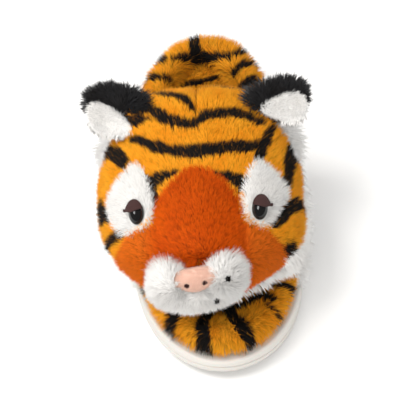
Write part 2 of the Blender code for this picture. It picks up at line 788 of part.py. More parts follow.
def make_ears(head_cutter):
    """Two ears, each a black plush back with its fringe of locks and a white lining in its cup."""
    for name, side in (("left", -1), ("right", 1)):
        back = ear_mesh(side, EAR_LENGTH, EAR_WIDTH, EAR_THICKNESS, 0.0, 0.0, EAR_LOCKS)
        ear = add_object(f"ear_back_{name}", back, (0.02, 0.02, 0.02), 0.95, 70)
        cut(ear, head_cutter)
        room = grown(f"ear_room_{name}", back, GAP)
        lining = ear_mesh(side, LINING_LENGTH, LINING_WIDTH, LINING_THICKNESS, LINING_LIFT, LINING_DROP, 0)
        inside = add_object(f"ear_lining_{name}", lining, (0.92, 0.91, 0.89), 0.9, 60)
        cut(inside, head_cutter, room)


for old in list(bpy.data.objects):
    bpy.data.objects.remove(old, do_unlink=True)

parts = bpy.data.collections.new("plush_slide_slipper")
cutters = bpy.data.collections.new("cutters")
for group in (parts, cutters):
    bpy.context.scene.collection.children.link(group)

make_sole()
make_rim()
make_footbed()
make_upper()
head = make_head()
head_tree = BVHTree.FromPolygons(
    [v.co.copy() for v in head.vertices], [tuple(p.vertices) for p in head.polygons]
)
head_room = grown("head_room", head, GAP)
add_object("head", head, (0.85, 0.42, 0.05), 0.9, 60)
bridge = face_panel("bridge", BRIDGE_OUTLINE, 1, (0.62, 0.12, 0.01), mirrored=True)
face_panel("eye_patch_left", PATCH_OUTLINE, -1, (0.93, 0.92, 0.9))
face_panel("eye_patch_right", PATCH_OUTLINE, 1, (0.93, 0.92, 0.9))
muzzle_room = make_muzzle()
cut(bridge, muzzle_room)
make_nose(head_room, muzzle_room)
make_eyes()
make_ears(head_room)
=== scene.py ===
"""Plush slide slipper with a stuffed tiger face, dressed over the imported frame.

The slipper stands on its sole, toe towards -Y, inner side towards +X. Every surface is worked
out in millimetres from the shoe's own sizes and goes into its mesh in metres. Plush is a skin
with tufts: small closed spikes that lean, clump and vary, coloured where they grow.
"""

import math

import bmesh
import bpy
import numpy as np
from bpy.props import FloatProperty, FloatVectorProperty, PointerProperty
from mathutils import Matrix, Vector


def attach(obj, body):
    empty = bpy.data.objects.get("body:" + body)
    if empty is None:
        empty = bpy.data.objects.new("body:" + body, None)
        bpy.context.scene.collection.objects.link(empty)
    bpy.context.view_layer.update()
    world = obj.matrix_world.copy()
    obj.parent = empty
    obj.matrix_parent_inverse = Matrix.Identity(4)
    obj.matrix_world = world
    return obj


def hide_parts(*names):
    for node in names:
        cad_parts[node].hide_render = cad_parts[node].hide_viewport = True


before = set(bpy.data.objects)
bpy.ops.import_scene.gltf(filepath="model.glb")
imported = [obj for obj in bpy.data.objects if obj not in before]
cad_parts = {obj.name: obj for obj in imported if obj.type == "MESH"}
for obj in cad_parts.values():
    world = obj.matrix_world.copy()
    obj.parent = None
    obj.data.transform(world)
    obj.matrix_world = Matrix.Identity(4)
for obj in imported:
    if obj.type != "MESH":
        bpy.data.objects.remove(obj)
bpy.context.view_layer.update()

bl_info = {
    "name": "Plush slide slipper",
    "version": (1, 0, 0),
    "blender": (4, 5, 0),
    "location": "3D View > Sidebar > Slipper",
    "description": "Builds the visible form of a plush slide slipper round its packed solids",
    "category": "Object",
}

MM = 0.001

# Sizes in millimetres, as in the part
GAP = 0.3
SOLE_SEAT = 0.55
LENGTH = 263.0
BALL_WIDTH = 110.0
HEEL_WIDTH = 84.0
TOE_ROUND = 82.0
HEEL_ROUND = 60.0
HEEL_CENTRE = 1.0
TOE_SHIFT = 11.0
FOREFOOT_THICKNESS = 18.0
HEEL_THICKNESS = 28.0
TOE_SPRING = 6.0
ARCH_LIFT = 2.0
EDGE_RADIUS = 5.0
TOP_RADIUS = 2.0
GROOVE_HEIGHT = 7.0
GROOVE_WIDTH = 1.6
GROOVE_DEPTH = 0.7
TOE_LEDGE = 7.5
HEEL_LEDGE = 5.0
RIM_WIDTH = 16.0
TOE_RIM_WIDTH = 20.0
RIM_HEIGHT = 17.0
BAND_FRONT = 58.0
THROAT_SETBACK = 110.0
INSTEP_HEIGHT = 70.0
FRONT_HEIGHT = 47.0
TOE_HEIGHT = 34.0
INSTEP_SHIFT = 4.0
WALL = 3.0
WALL_INSET = 1.6
ARCH_POWER = 2.4
HEAD_WIDTH = 125.0
HEAD_STUFFING = 22.0
CREASE_DEPTH = 4.0
CREASE_WIDTH = 2.8
CHIN_SETBACK = 24.0
CHIN_BLEND = 26.0
CHIN_UNDER = 0.84
THROAT_OVERLAP = 2.0
HEAD_SEAT = 0.6
PANEL = 2.2
EYE_SPREAD = 37.0
EYE_SETBACK = 41.5
EYE_WIDTH = 10.0
EYE_LENGTH = 15.0
EYE_DEPTH = 4.5
MUZZLE_SETBACK = 3.5
MUZZLE_RISE = 11.0
MUZZLE_SHIFT = -1.5
NOSE_SHIFT = -0.6
MUZZLE_ROLL = 8.0
FACING = np.array([0.0, -0.6, 0.8])
LOBE_SPREAD = 16.8
LOBE_WIDTH = 25.5
LOBE_LENGTH = 27.0
LOBE_HEIGHT = 28.0
CHIN_WIDTH = 52.0
CHIN_DROP = 9.0
MUZZLE_BLEND = 9
NOSE_WIDTH = 30.0
NOSE_LENGTH = 13.8
NOSE_DEPTH = 9.0
NOSE_LIFT = 3.9
NOSE_TURN = 66.0
NOSE_TILT = 42.0
NOSTRIL_TURNS = (1.22 * math.pi, 1.78 * math.pi)
EAR_ROOT = 38.0
EAR_SETBACK = 16.0
EAR_SINK = 4.5
EAR_LENGTH = 38.0
EAR_WIDTH = 31.0
EAR_THICKNESS = 7.0
EAR_CUP = 5.0
EAR_RISE = 14.0
EAR_LEAN = 40.0
EAR_SWEEP = 6.0
LINING_LENGTH = 30.0
LINING_WIDTH = 29.0
LINING_THICKNESS = 6.0
LINING_DROP = 6.3
LINING_LIFT = 4.6
LINING_TAPER = 0.3
LINING_FORMS = {
    # side: crease, shift, slope
    -1: (0.8, 1.6, 0.22),
    1: (2.4, 2.6, -0.10),
}

# How far a coat's skin lies under the solid's surface, which its pile then passes
SKIN_SINK = 0.8
RUFF_SINK = 1.2

HEAD_START = CHIN_SETBACK - LENGTH / 2
HEAD_END = LENGTH / 2 - THROAT_SETBACK + THROAT_OVERLAP

OUTLINE = (
    # along, inner, outer
    (0.00, 1.00, 1.00),
    (0.30, 1.00, 1.00),
    (0.45, 0.74, 0.90),
    (0.60, 0.16, 0.52),
    (0.77, -0.02, 0.08),
    (1.00, 0.00, 0.00),
)

SOLE_LINES = (
    # along, spring, arch, top
    (0.00, 1.00, 0.00, 0.10),
    (0.07, 0.45, 0.00, 0.06),
    (0.17, 0.00, 0.00, 0.00),
    (0.40, 0.00, 0.00, 0.12),
    (0.46, 0.00, 0.55, 0.28),
    (0.53, 0.00, 1.00, 0.50),
    (0.60, 0.00, 0.55, 0.72),
    (0.66, 0.00, 0.00, 0.88),
    (0.80, 0.00, 0.00, 1.00),
    (1.00, 0.10, 0.00, 1.06),
)

HEAD_SECTIONS = (
    # along, width, stuffing, edge, skirt
    (0.000, 0.22, 0.10, 0.42, 48.0),
    (0.020, 0.36, 0.36, 0.42, 46.0),
    (0.055, 0.50, 0.62, 0.42, 43.0),
    (0.110, 0.66, 0.84, 0.42, 38.0),
    (0.180, 0.80, 0.97, 0.42, 32.0),
    (0.260, 0.90, 1.02, 0.43, 24.0),
    (0.350, 0.955, 1.02, 0.44, 17.0),
    (0.450, 0.995, 1.00, 0.46, 13.0),
    (0.560, 1.00, 0.98, 0.47, 12.0),
    (0.700, 0.965, 0.96, 0.48, 12.0),
    (0.820, 0.92, 0.86, 0.48, 12.0),
    (0.920, 0.84, 0.60, 0.46, 13.0),
    (1.000, 0.72, 0.12, 0.40, 15.0),
)

# Lower edge of the striped face on the head: arch angle above the widest line, in degrees
FACE_EDGE = (
    # along, angle
    (0.00, -3.0),
    (0.50, -6.0),
    (0.64, -2.0),
    (0.70, 8.0),
    (0.78, 32.0),
    (0.88, 42.0),
    (1.00, 46.0),
)

BRIDGE_OUTLINE = (
    # across, along
    (0.00, 0.503),
    (0.16, 0.473),
    (0.31, 0.397),
    (0.405, 0.317),
    (0.435, 0.238),
    (0.57, 0.214),
    (0.70, 0.206),
    (0.75, 0.166),
    (0.64, 0.120),
    (0.49, 0.090),
    (0.30, 0.085),
    (0.00, 0.085),
)

PATCH_OUTLINE = (
    # across, along
    (0.60, 0.554),
    (0.72, 0.523),
    (0.86, 0.453),
    (0.87, 0.377),
    (0.80, 0.290),
    (0.69, 0.236),
    (0.57, 0.237),
    (0.475, 0.262),
    (0.45, 0.337),
    (0.47, 0.418),
    (0.52, 0.498),
)

# Stripes in plan, each a line of (x, y, half width), in millimetres
HEAD_STRIPES = (
    ((-26, 19, 2.4), (-15, 12, 3.2), (-7, 6, 2.8), (-2, -2, 2.0)),
    ((-45, -4, 2.4), (-38, -6, 2.8), (-31, -6, 1.4)),
    (
        *((-36, 3, 2.4), (-28, 0, 3.0), (-19, -9, 3.4), (-9, -13, 3.4), (-2, -14, 3.4)),
        *((4, -9, 3.2), (12, -7, 3.2), (27, -5, 3.4), (40, -8, 2.8)),
    ),
    (
        *((-41, -17, 2.0), (-33, -21, 2.8), (-26, -26, 3.2), (-14, -31, 3.4), (-3, -32, 4.0)),
        *((9, -30, 4.0), (24, -28, 4.0), (38, -25, 3.2), (43, -22, 2.6)),
    ),
    ((48, -8, 1.8), (43, -21, 3.0), (38, -33, 3.4)),
    ((-60, -12, 3.0), (-53, -21, 4.0), (-46, -31, 3.4)),
    ((-36, -46, 4.0), (-28, -48, 5.2), (-20, -46, 3.0), (-13, -44, 1.6)),
    ((-30, -50, 5.0), (-28, -58, 4.0), (-26, -64, 2.4)),
    ((11, -45, 1.6), (18, -48, 3.4), (26, -50, 4.4), (31, -54, 4.0)),
    ((62, -10, 3.0), (58, -26, 3.4), (55, -45, 2.8)),
    ((65, -50, 2.4), (57, -59, 3.2), (50, -69, 3.4), (46, -75, 2.2)),
    ((59, -80, 1.6), (53, -86, 2.3), (48, -91, 1.5)),
    ((-63, -46, 2.0), (-60, -57, 2.8), (-55, -62, 2.2)),
    ((-60, -74, 2.6), (-54, -75, 3.4), (-48, -76, 2.4)),
    ((2, 23, 1.6), (12, 22, 2.2), (26, 21, 1.8)),
)

RIM_STRIPES = (
    ((-5, 131, 3.0), (-4, 120, 4.0), (-4, 110, 3.4)),
    (
        *((-20, 104, 1.8), (-12, 107, 2.4), (2, 110, 2.2), (18, 106, 2.6)),
        *((26, 108, 3.0), (33, 117, 3.0), (38, 122, 2.4)),
    ),
    ((-34, 112, 4.6), (-26, 104, 3.0)),
    ((22, 90, 2.4), (30, 97, 2.8), (40, 102, 2.4)),
    ((28, 76, 3.0), (34, 80, 4.6), (42, 82, 4.0)),
    ((-44, 96, 3.0), (-32, 88, 2.4), (-22, 86, 2.2)),
    ((-46, 66, 2.6), (-32, 70, 3.2), (-22, 66, 2.0)),
    ((-46, 40, 3.0), (-30, 44, 2.8)),
    ((48, 52, 3.0), (38, 56, 3.0), (28, 50, 2.0)),
    ((52, 20, 3.0), (38, 22, 2.4)),
    ((-50, 12, 3.0), (-34, 14, 2.4)),
    ((-54, -30, 3.0), (-40, -32, 2.4)),
    ((66, -26, 3.0), (50, -28, 2.4)),
    ((-52, -66, 3.0), (-36, -68, 2.0)),
    ((-46, -84, 2.6), (-38, -80, 3.2), (-30, -76, 2.0)),
    ((-12, -92, 3.0), (-17, -101, 4.0), (-21, -110, 4.4), (-24, -120, 3.4)),
    ((4, -98, 3.2), (3, -107, 3.6), (-1, -117, 4.6), (1, -128, 4.0)),
    ((15, -100, 3.0), (19, -110, 3.8), (26, -119, 4.6), (33, -128, 3.8)),
    ((12, -99, 4.0), (24, -97, 5.0), (36, -93, 3.6), (44, -95, 2.4)),
    ((38, -84, 1.6), (49, -85, 2.0), (62, -82, 1.8)),
    ((40, -100, 1.0), (50, -106, 1.4)),
)

FOOTBED_STRIPES = (
    ((-26, 84, 3.0), (-19, 88, 3.0), (-2, 93, 2.8), (13, 97, 1.8)),
    ((4, 84, 1.6), (15, 85, 2.2), (28, 86, 1.8)),
    ((-24, 60, 2.0), (-6, 66, 2.8), (12, 62, 2.0)),
    ((-2, 44, 1.8), (14, 48, 2.8), (26, 44, 2.0)),
    ((-24, 30, 2.2), (-8, 26, 2.8), (8, 32, 2.0)),
    ((-10, -70, 2.4), (8, -74, 3.0), (30, -70, 2.4)),
    ((-20, -90, 2.0), (4, -96, 3.0), (24, -96, 4.0), (36, -90, 3.0)),
)

# Points near the muzzle's skin where the two black marks sit
WHISKER_DOTS = ((16.9, -111.4, 80.6), (9.6, -117.0, 67.1))


def shares(table, along):
    """Columns of a table at the given shares, by monotone cubics through its rows."""
    rows = np.array(table, float)
    x, y = rows[:, 0], rows[:, 1:]
    step = np.diff(x)[:, None]
    slope = np.diff(y, axis=0) / step
    meet = slope[:-1] * slope[1:]
    tangent = np.zeros_like(y)
    safe = np.where(meet > 0, slope[:-1] + slope[1:], 1.0)
    tangent[1:-1] = np.where(meet > 0, 2 * meet / safe, 0.0)
    tangent[0], tangent[-1] = slope[0], slope[-1]
    along = np.clip(np.asarray(along, float), x[0], x[-1])
    i = np.clip(np.searchsorted(x, along) - 1, 0, len(x) - 2)
    t = ((along - x[i]) / step[i, 0])[..., None]
    return (
        y[i] * (1 + 2 * t) * (1 - t) ** 2
        + y[i + 1] * t**2 * (3 - 2 * t)
        + tangent[i] * step[i] * t * (1 - t) ** 2
        - tangent[i + 1] * step[i] * t**2 * (1 - t)
    )


def smooth(t):
    """Smoothstep: 0 below 0, 1 above 1 and a soft rise between them."""
    t = np.clip(t, 0.0, 1.0)
    return t * t * (3 - 2 * t)


def unit(v):
    """Vectors at length 1."""
    return v / np.maximum(np.linalg.norm(v, axis=-1, keepdims=True), 1e-9)


def dot(a, b):
    """Dot product along the last axis, which stays with length 1."""
    return (a * b).sum(-1, keepdims=True)


def lattice(cell, seed):
    """Repeatable number from 0 to 1 for each whole-numbered cell, from a steep sine."""
    n = cell[..., 0] * 127.1 + cell[..., 1] * 311.7 + cell[..., 2] * 74.7 + seed * 53.3
    return np.mod(np.sin(n) * 43758.5453, 1.0)


def noise(p, size, seed=0):
    """Soft noise from -1 to 1: lattice numbers at a cell's eight corners, blended by smoothstep."""
    q = p / size
    cell = np.floor(q)
    t = smooth(q - cell)
    total = 0.0
    for corner in np.ndindex(2, 2, 2):
        side = np.array(corner)
        weight = np.where(side, t, 1 - t).prod(-1)
        total = total + weight * lattice(cell + side, seed)
    return 2 * total - 1


def clump_offset(p, size, seed):
    """Vector from each point to the nearest of a jittered lattice of clump middles."""
    cell = np.floor(p / size)
    best = np.full(len(p), 1e9)
    offset = np.zeros_like(p)
    for near in np.ndindex(3, 3, 3):
        c = cell + np.array(near) - 1
        jitter = np.stack([lattice(c, seed + k) for k in range(3)], -1)
        away = (c + jitter) * size - p
        far = (away**2).sum(-1)
        nearer = far < best
        best = np.where(nearer, far, best)
        offset = np.where(nearer[:, None], away, offset)
    return offset


# The shoe's own curves


def share_at(y):
    """Share of the shoe's length at station y, 0 at the toe and 1 at the heel."""
    return np.clip((np.asarray(y, float) + LENGTH / 2) / LENGTH, 0.0, 1.0)


def centre_line(along):
    """Sideways place of the sole's middle line, which swings inwards to the toe by half a cosine."""
    return HEEL_CENTRE + TOE_SHIFT * (0.5 + 0.5 * np.cos(math.pi * np.clip(along / 0.85, 0.0, 1.0)))


def half_widths(along):
    """Inner and outer half widths of the sole, rounded off as quarter ellipses at toe and heel."""
    half = HEEL_WIDTH / 2 + shares(OUTLINE, along) * (BALL_WIDTH - HEEL_WIDTH) / 2
    toe = np.clip(1 - along * LENGTH / TOE_ROUND, 0.0, 1.0)
    heel = np.clip(1 - (1 - along) * LENGTH / HEEL_ROUND, 0.0, 1.0)
    ends = np.sqrt(np.clip(1 - toe**2, 0, 1)) * np.sqrt(np.clip(1 - heel**2, 0, 1))
    return half[..., 0] * ends, half[..., 1] * ends


def underside(y):
    """Height of the sole's underside: toe spring, and a lift under the arch of the foot."""
    rows = shares(SOLE_LINES, share_at(y))
    return TOE_SPRING * rows[..., 0] + ARCH_LIFT * rows[..., 1]


def sole_top(y):
    """Height of the sole's top, which rises from the forefoot to the heel."""
    rise = shares(SOLE_LINES, share_at(y))[..., 2]
    return FOREFOOT_THICKNESS + rise * (HEEL_THICKNESS - FOREFOOT_THICKNESS)


def edge_line(turn):
    """Point of the sole's outline at a turn from the toe by the inner side."""
    along = (1 - np.cos(turn)) / 2
    inner, outer = half_widths(along)
    side = np.where(np.sin(turn) >= 0, inner, -outer)
    return np.stack([centre_line(along) + side, (along - 0.5) * LENGTH], -1)


def outline(turn, inset):
    """Sole outline at a turn of 0 to 2 pi from the toe by the inner side, moved in square to itself."""
    step = 2 * math.pi / 480
    ahead = unit(edge_line(turn + step) - edge_line(turn - step))
    inward = np.stack([-ahead[..., 1], ahead[..., 0]], -1)
    return edge_line(turn) + inward * np.asarray(inset)[..., None]


def turns(count):
    """So many even steps round a circle, in radians."""
    return 2 * math.pi * np.arange(count) / count


def ledge(y):
    """Width of the sole's bare ledge outside the rim."""
    return TOE_LEDGE + (HEEL_LEDGE - TOE_LEDGE) * smooth(share_at(y) / 0.45)


def rim_width(y):
    """Width of the padded rim, which is fuller round the toe."""
    return RIM_WIDTH + (TOE_RIM_WIDTH - RIM_WIDTH) * smooth(1 - share_at(y) / 0.30)


def arch(y, angle, swell):
    """Superellipse over the last at station y: angle 0 is its inner foot and pi its outer foot."""
    along = share_at(y)
    inner, outer = half_widths(along)
    inset = WALL_INSET + WALL
    foot_in = centre_line(along) + inner - inset
    foot_out = centre_line(along) - outer + inset
    rows = (
        (0.0, TOE_HEIGHT),
        (BAND_FRONT / LENGTH, FRONT_HEIGHT),
        (1 - THROAT_SETBACK / LENGTH, INSTEP_HEIGHT),
        (1.0, INSTEP_HEIGHT),
    )
    height = shares(rows, along)[..., 0] + swell
    cos, sin = np.cos(angle), np.sin(angle)
    x = np.sign(cos) * np.abs(cos) ** (2 / ARCH_POWER) * ((foot_in - foot_out) / 2 + swell)
    rise = np.abs(sin) ** (2 / ARCH_POWER)
    x = (foot_in + foot_out) / 2 + x + INSTEP_SHIFT * rise * rise
    return x, sole_top(y) + GAP + height * rise


def head_line(y):
    """Half width, height of the widest line, crown and lower edge of the head at station y."""
    share = (y - HEAD_START) / (HEAD_END - HEAD_START)
    width, stuffing, edge, skirt = np.moveaxis(shares(HEAD_SECTIONS, share), -1, 0)
    swell = WALL + HEAD_SEAT
    low = arch(y, np.radians(skirt), swell)[1]
    crown = arch(y, math.pi / 2, swell)[1] + HEAD_STUFFING * stuffing
    return width * HEAD_WIDTH / 2, low + edge * (crown - low), crown, low, np.radians(skirt)


def stuffing_relief(x, y):
    """Rise of the stuffed head over its plain section: a sewn crease down the crown and soft lumps."""
    crease = -CREASE_DEPTH * np.exp(-(((x + 0.5) / CREASE_WIDTH) ** 2)) * smooth((y + 34) / 36)
    lumps = 0.8 * noise(np.stack([x, y, np.zeros_like(x)], -1), 21.0, 3)
    return crease + lumps


def head_top(x, y):
    """Height of the stuffed head over a point in plan, by its section's upper quarters."""
    half, mid, crown, _, _ = head_line(y)
    sin = np.sqrt(np.clip(1 - (x / half) ** 2, 0.0, 1.0))
    return mid + (crown - mid) * sin**0.86 + stuffing_relief(x, y) * smooth(sin * 1.6)


def chin_edge():
    """Height of the head's lower edge just behind its front."""
    return head_line(np.full(1, HEAD_START + 6))[3][0]


def on_head(x, y, lift):
    """Point of the head over a point in plan, moved out along the surface's normal."""
    e = 0.4
    at = np.stack([x, y, head_top(x, y)], -1)
    gx = (head_top(x + e, y) - head_top(x - e, y)) / (2 * e)
    gy = (head_top(x, y + e) - head_top(x, y - e)) / (2 * e)
    out = unit(np.stack([-gx, -gy, np.ones_like(gx)], -1))
    return at + out * np.asarray(lift)[..., None], out


# Meshes


def grid_faces(rows, cols, wrap_rows=False, wrap_cols=False, first=0):
    """Quads of a grid of rows by cols points, closed round either way where wanted."""
    across, down = np.arange(rows - (not wrap_rows)), np.arange(cols - (not wrap_cols))
    i, j = np.meshgrid(across, down, indexing="ij")
    a, b = i * cols + j, i * cols + (j + 1) % cols
    c, d = (i + 1) % rows * cols + (j + 1) % cols, (i + 1) % rows * cols + j
    return np.stack([a, b, c, d], -1).reshape(-1, 4) + first


class Skin:
    """Closed surface as arrays: merged points, outward triangles and a normal for each point."""

    def __init__(self, *grids):
        points, faces, first = [], [], 0
        for grid, wrap_rows, wrap_cols in grids:
            rows, cols = grid.shape[:2]
            points.append(grid.reshape(-1, 3))
            faces.append(grid_faces(rows, cols, wrap_rows, wrap_cols, first))
            first += rows * cols
        mesh = bpy.data.meshes.new("skin")
        mesh.from_pydata(np.concatenate(points) * MM, [], np.concatenate(faces).tolist())
        bm = bmesh.new()
        bm.from_mesh(mesh)
        bmesh.ops.remove_doubles(bm, verts=bm.verts, dist=0.02 * MM)
        bmesh.ops.dissolve_degenerate(bm, edges=bm.edges, dist=0.01 * MM)
        bmesh.ops.recalc_face_normals(bm, faces=bm.faces)
        bmesh.ops.triangulate(bm, faces=bm.faces)
        bm.to_mesh(mesh)
        bm.free()
        self.take(mesh)
        bpy.data.meshes.remove(mesh)

    def take(self, mesh):
        """Points and triangles of a mesh, in millimetres."""
        count = len(mesh.vertices)
        flat = np.empty(count * 3)
        mesh.vertices.foreach_get("co", flat)
        self.points = flat.reshape(-1, 3) / MM
        loops = np.empty(len(mesh.loops), int)
        mesh.loops.foreach_get("vertex_index", loops)
        self.tris = loops.reshape(-1, 3)
        self.find_normals()

    def find_normals(self):
        """Area of each triangle, and each point's normal, weighted by the areas round it."""
        a, b, c = (self.points[self.tris[:, k]] for k in range(3))
        across = np.cross(b - a, c - a)
        self.areas = np.linalg.norm(across, axis=1) / 2
        total = np.zeros_like(self.points)
        for k in range(3):
            np.add.at(total, self.tris[:, k], across)
        self.normals = unit(total)


def scatter(skin, density, rng, wanted=None):
    """Roots spread over a skin, so many to a square millimetre, with the skin's normal at each."""
    share = np.cumsum(skin.areas) / skin.areas.sum()
    count = int(skin.areas.sum() * density)
    pick = np.searchsorted(share, (np.arange(count) + rng.random(count)) / count).clip(0, len(share) - 1)
    r, s = np.sqrt(rng.random(count)), rng.random(count)
    weight = np.stack([1 - r, r * (1 - s), r * s], 1)[..., None]
    corner = skin.tris[pick]
    root = (skin.points[corner] * weight).sum(1)
    normal = unit((skin.normals[corner] * weight).sum(1))
    if wanted is not None:
        keep = wanted(root, normal) > rng.random(count)
        root, normal = root[keep], normal[keep]
    return root, normal


def comb(root, normal, flow, lean, length, clump, pull, rng, spread=0.22):
    """Direction and length of each tuft.

    A tuft leans from the surface's normal along the flow by an angle in degrees that wanders
    from place to place, and its tip is pulled a share of the way to its clump's middle.
    """
    ahead = unit(flow - normal * dot(flow, normal))
    across = np.cross(normal, ahead)
    angle = np.radians(lean + 16 * noise(root, 9.0, 11) + 9 * noise(root, 3.1, 12))[:, None]
    veer = (0.55 * noise(root, 11.0, 13) + 0.3 * noise(root, 3.7, 14))[:, None]
    way = unit(normal * np.cos(angle) + (ahead + across * veer) * np.sin(angle))
    way = unit(way + spread * rng.normal(size=root.shape))
    span = length * (1 + 0.16 * noise(root, 6.0, 15) + 0.13 * rng.normal(size=len(root)))
    gather = clump_offset(root, clump, 21)
    gather -= normal * dot(gather, normal)
    tip = way * span[:, None] + gather * pull
    return unit(tip), np.clip(np.linalg.norm(tip, axis=1), 0.3 * length, 1.6 * length)


def tuft_mesh(root, normal, way, span, width, bend, rng):
    """Closed three-sided spikes. A bend of 0 gives four faces, and a bent one gets a middle ring.

    The foot is a triangle sunk under the skin, and the tip lies at the span along the way,
    drooping by bend times the span.
    """
    side = unit(np.cross(way, rng.normal(size=root.shape)))
    other = np.cross(way, side)
    third = 2 * math.pi / 3 * np.arange(3)
    ring = side[:, None] * np.cos(third)[None, :, None] + other[:, None] * np.sin(third)[None, :, None]
    width = np.broadcast_to(width, len(root))[:, None, None]
    foot = (root - normal * 0.5)[:, None] + ring * width / 2
    droop = np.zeros_like(root)
    droop[:, 2] = -1.0
    tip = (root + way * span[:, None] + droop * (bend * span)[:, None])[:, None]
    count = len(root)
    if np.all(bend == 0):
        points = np.concatenate([foot, tip], 1)
        faces = np.array([[0, 1, 3], [1, 2, 3], [2, 0, 3], [0, 2, 1]])
        height = np.tile([0, 0, 0, 1.0], (count, 1))
        cell = np.array([[0.10, 0.18], [0.22, 0.5], [0.10, 0.82], [0.92, 0.5]])
    else:
        waist = root + way * span[:, None] * 0.55 + droop * (0.2 * bend * span)[:, None]
        points = np.concatenate([foot, waist[:, None] + ring * width * 0.42, tip], 1)
        sides = [[[k, (k + 1) % 3, 3 + (k + 1) % 3], [k, 3 + (k + 1) % 3, 3 + k]] for k in range(3)]
        tops = [[3 + k, 3 + (k + 1) % 3, 6] for k in range(3)]
        faces = np.array([*np.array(sides).reshape(-1, 3), *tops, [0, 2, 1]])
        height = np.tile([0, 0, 0, 0.55, 0.55, 0.55, 1.0], (count, 1))
        low, high = [[0.06, 0.16], [0.18, 0.5], [0.06, 0.84]], [[0.52, 0.22], [0.6, 0.5], [0.52, 0.78]]
        cell = np.array([*low, *high, [0.94, 0.5]])
    tris = faces[None] + (np.arange(count) * points.shape[1])[:, None, None]
    along = way[:, None] * dot(points - root[:, None], way[:, None])
    outward = unit(points - (root - normal)[:, None] - along)
    shade = unit(normal[:, None] * 0.75 + way[:, None] * 0.35 + outward * 0.35)
    uv = np.tile(cell[faces][None], (count, 1, 1, 1))
    return points, tris, height, shade, uv


def stripe_mask(p, lines, soft=1.5):
    """How black the plush is at each point, from its distance in plan to the stripes' lines."""
    wander = 0.9 * noise(p, 6.0, 31) + 0.6 * noise(p, 2.2, 32) + 0.3
    mask = np.zeros(len(p))
    for line in lines:
        rows = np.array(line, float)
        for a, b in zip(rows, rows[1:]):
            ab = (b - a)[:2]
            t = np.clip(((p[:, :2] - a[:2]) @ ab) / (ab @ ab), 0, 1)
            away = np.linalg.norm(p[:, :2] - a[:2] - t[:, None] * ab, axis=1)
            half = a[2] + (b[2] - a[2]) * t
            edge = half + wander * np.minimum(half / 3, 1) - away
            mask = np.maximum(mask, np.clip(edge / soft + 0.5, 0, 1))
    return mask


def from_nearest(p, spots):
    """Distance from each point to the nearest of a few spots."""
    return np.min([np.linalg.norm(p - spot, axis=1) for spot in spots], axis=0)


def spot_mask(p, spots, radius):
    """1 inside small round marks and 0 outside."""
    return np.clip((radius - from_nearest(p, spots)) / 0.5 + 0.5, 0, 1)


def plain(p):
    """Colour rule of a coat with neither stripes nor patches."""
    return np.zeros(len(p)), np.zeros(len(p))


class Coat:
    """Gathers a skin, if it has one, and tufts, then writes them as one mesh with a coat's attributes."""

    def __init__(self, colour_at, seed, skin=None):
        self.rng = np.random.default_rng(seed)
        self.colour_at = colour_at
        self.parts = []
        if skin is None:
            return
        stripe, blend = colour_at(skin.points + skin.normals * 1.5)
        tone = 0.5 + 0.3 * noise(skin.points, 7.0, 41)
        corners = [[0.08, 0.08], [0.92, 0.08], [0.08, 0.92]]
        uv = np.tile(corners, (len(skin.tris), 1)).reshape(-1, 3, 2)
        height = np.zeros(len(skin.points))
        self.parts.append((skin.points, skin.tris, height, skin.normals, stripe, blend, tone, uv))

    def add(self, root, normal, flow, lean, length, width, clump=3.4, pull=0.5, bend=0.0, spread=0.22):
        """Tufts at the roots, coloured by the place where most of each one lies."""
        rng = self.rng
        way, span = comb(root, normal, flow, lean, length, clump, pull, rng, spread)
        droop = np.full(len(root), bend)
        size = width * rng.uniform(0.75, 1.3, len(root))
        points, tris, height, shade, uv = tuft_mesh(root, normal, way, span, size, droop, rng)
        stripe, blend = self.colour_at(root + way * (0.6 * span)[:, None])
        # Fibres mix where a stripe ends, so each tuft is tipped one way or the other.
        mixed = (stripe - 0.5 + 0.2 * rng.normal(size=len(root))) * 2.4 + 0.5
        stripe = np.clip(mixed, 0, 1) * (stripe > 0.02)
        tone = 0.5 + 0.3 * noise(root, 7.0, 41) + 0.16 * noise(root, 2.6, 42)
        tone = np.clip(tone + 0.16 * rng.normal(size=len(root)), 0, 1)
        each = (np.repeat(values, points.shape[1]) for values in (stripe, blend, tone))
        arrays = points.reshape(-1, 3), tris.reshape(-1, 3), height.ravel(), shade.reshape(-1, 3)
        self.parts.append((*arrays, *each, uv))

    def build(self, name, material):
        """One object: joined arrays, four attributes, and a bake map with a cell for each tuft."""
        first, tris, cells, uvs = 0, [], 0, []
        for points, faces, *_, uv in self.parts:
            tris.append(faces + first)
            first += len(points)
            cells += len(uv)
        side = math.ceil(math.sqrt(cells))
        start = 0
        for *_, uv in self.parts:
            index = start + np.arange(len(uv))
            corner = np.stack([index % side, index // side], -1)
            uvs.append(((uv.reshape(len(uv), -1, 2) + corner[:, None]) / side).reshape(-1, 2))
            start += len(uv)
        joined = [np.concatenate([p[k] for p in self.parts]) for k in (0, 2, 3, 4, 5, 6)]
        points, height, normals, stripe, blend, tone = joined
        mesh = mesh_of(name, points, np.concatenate(tris))
        for label, values in (("height", height), ("stripe", stripe), ("blend", blend), ("tone", tone)):
            attribute = mesh.attributes.new(label, "FLOAT", "POINT")
            attribute.data.foreach_set("value", values.astype(np.float32))
        layer = mesh.uv_layers.new(name="OFBake")
        layer.data.foreach_set("uv", np.concatenate(uvs).astype(np.float32).ravel())
        mesh.normals_split_custom_set_from_vertices(normals)
        return place(name, mesh, material)


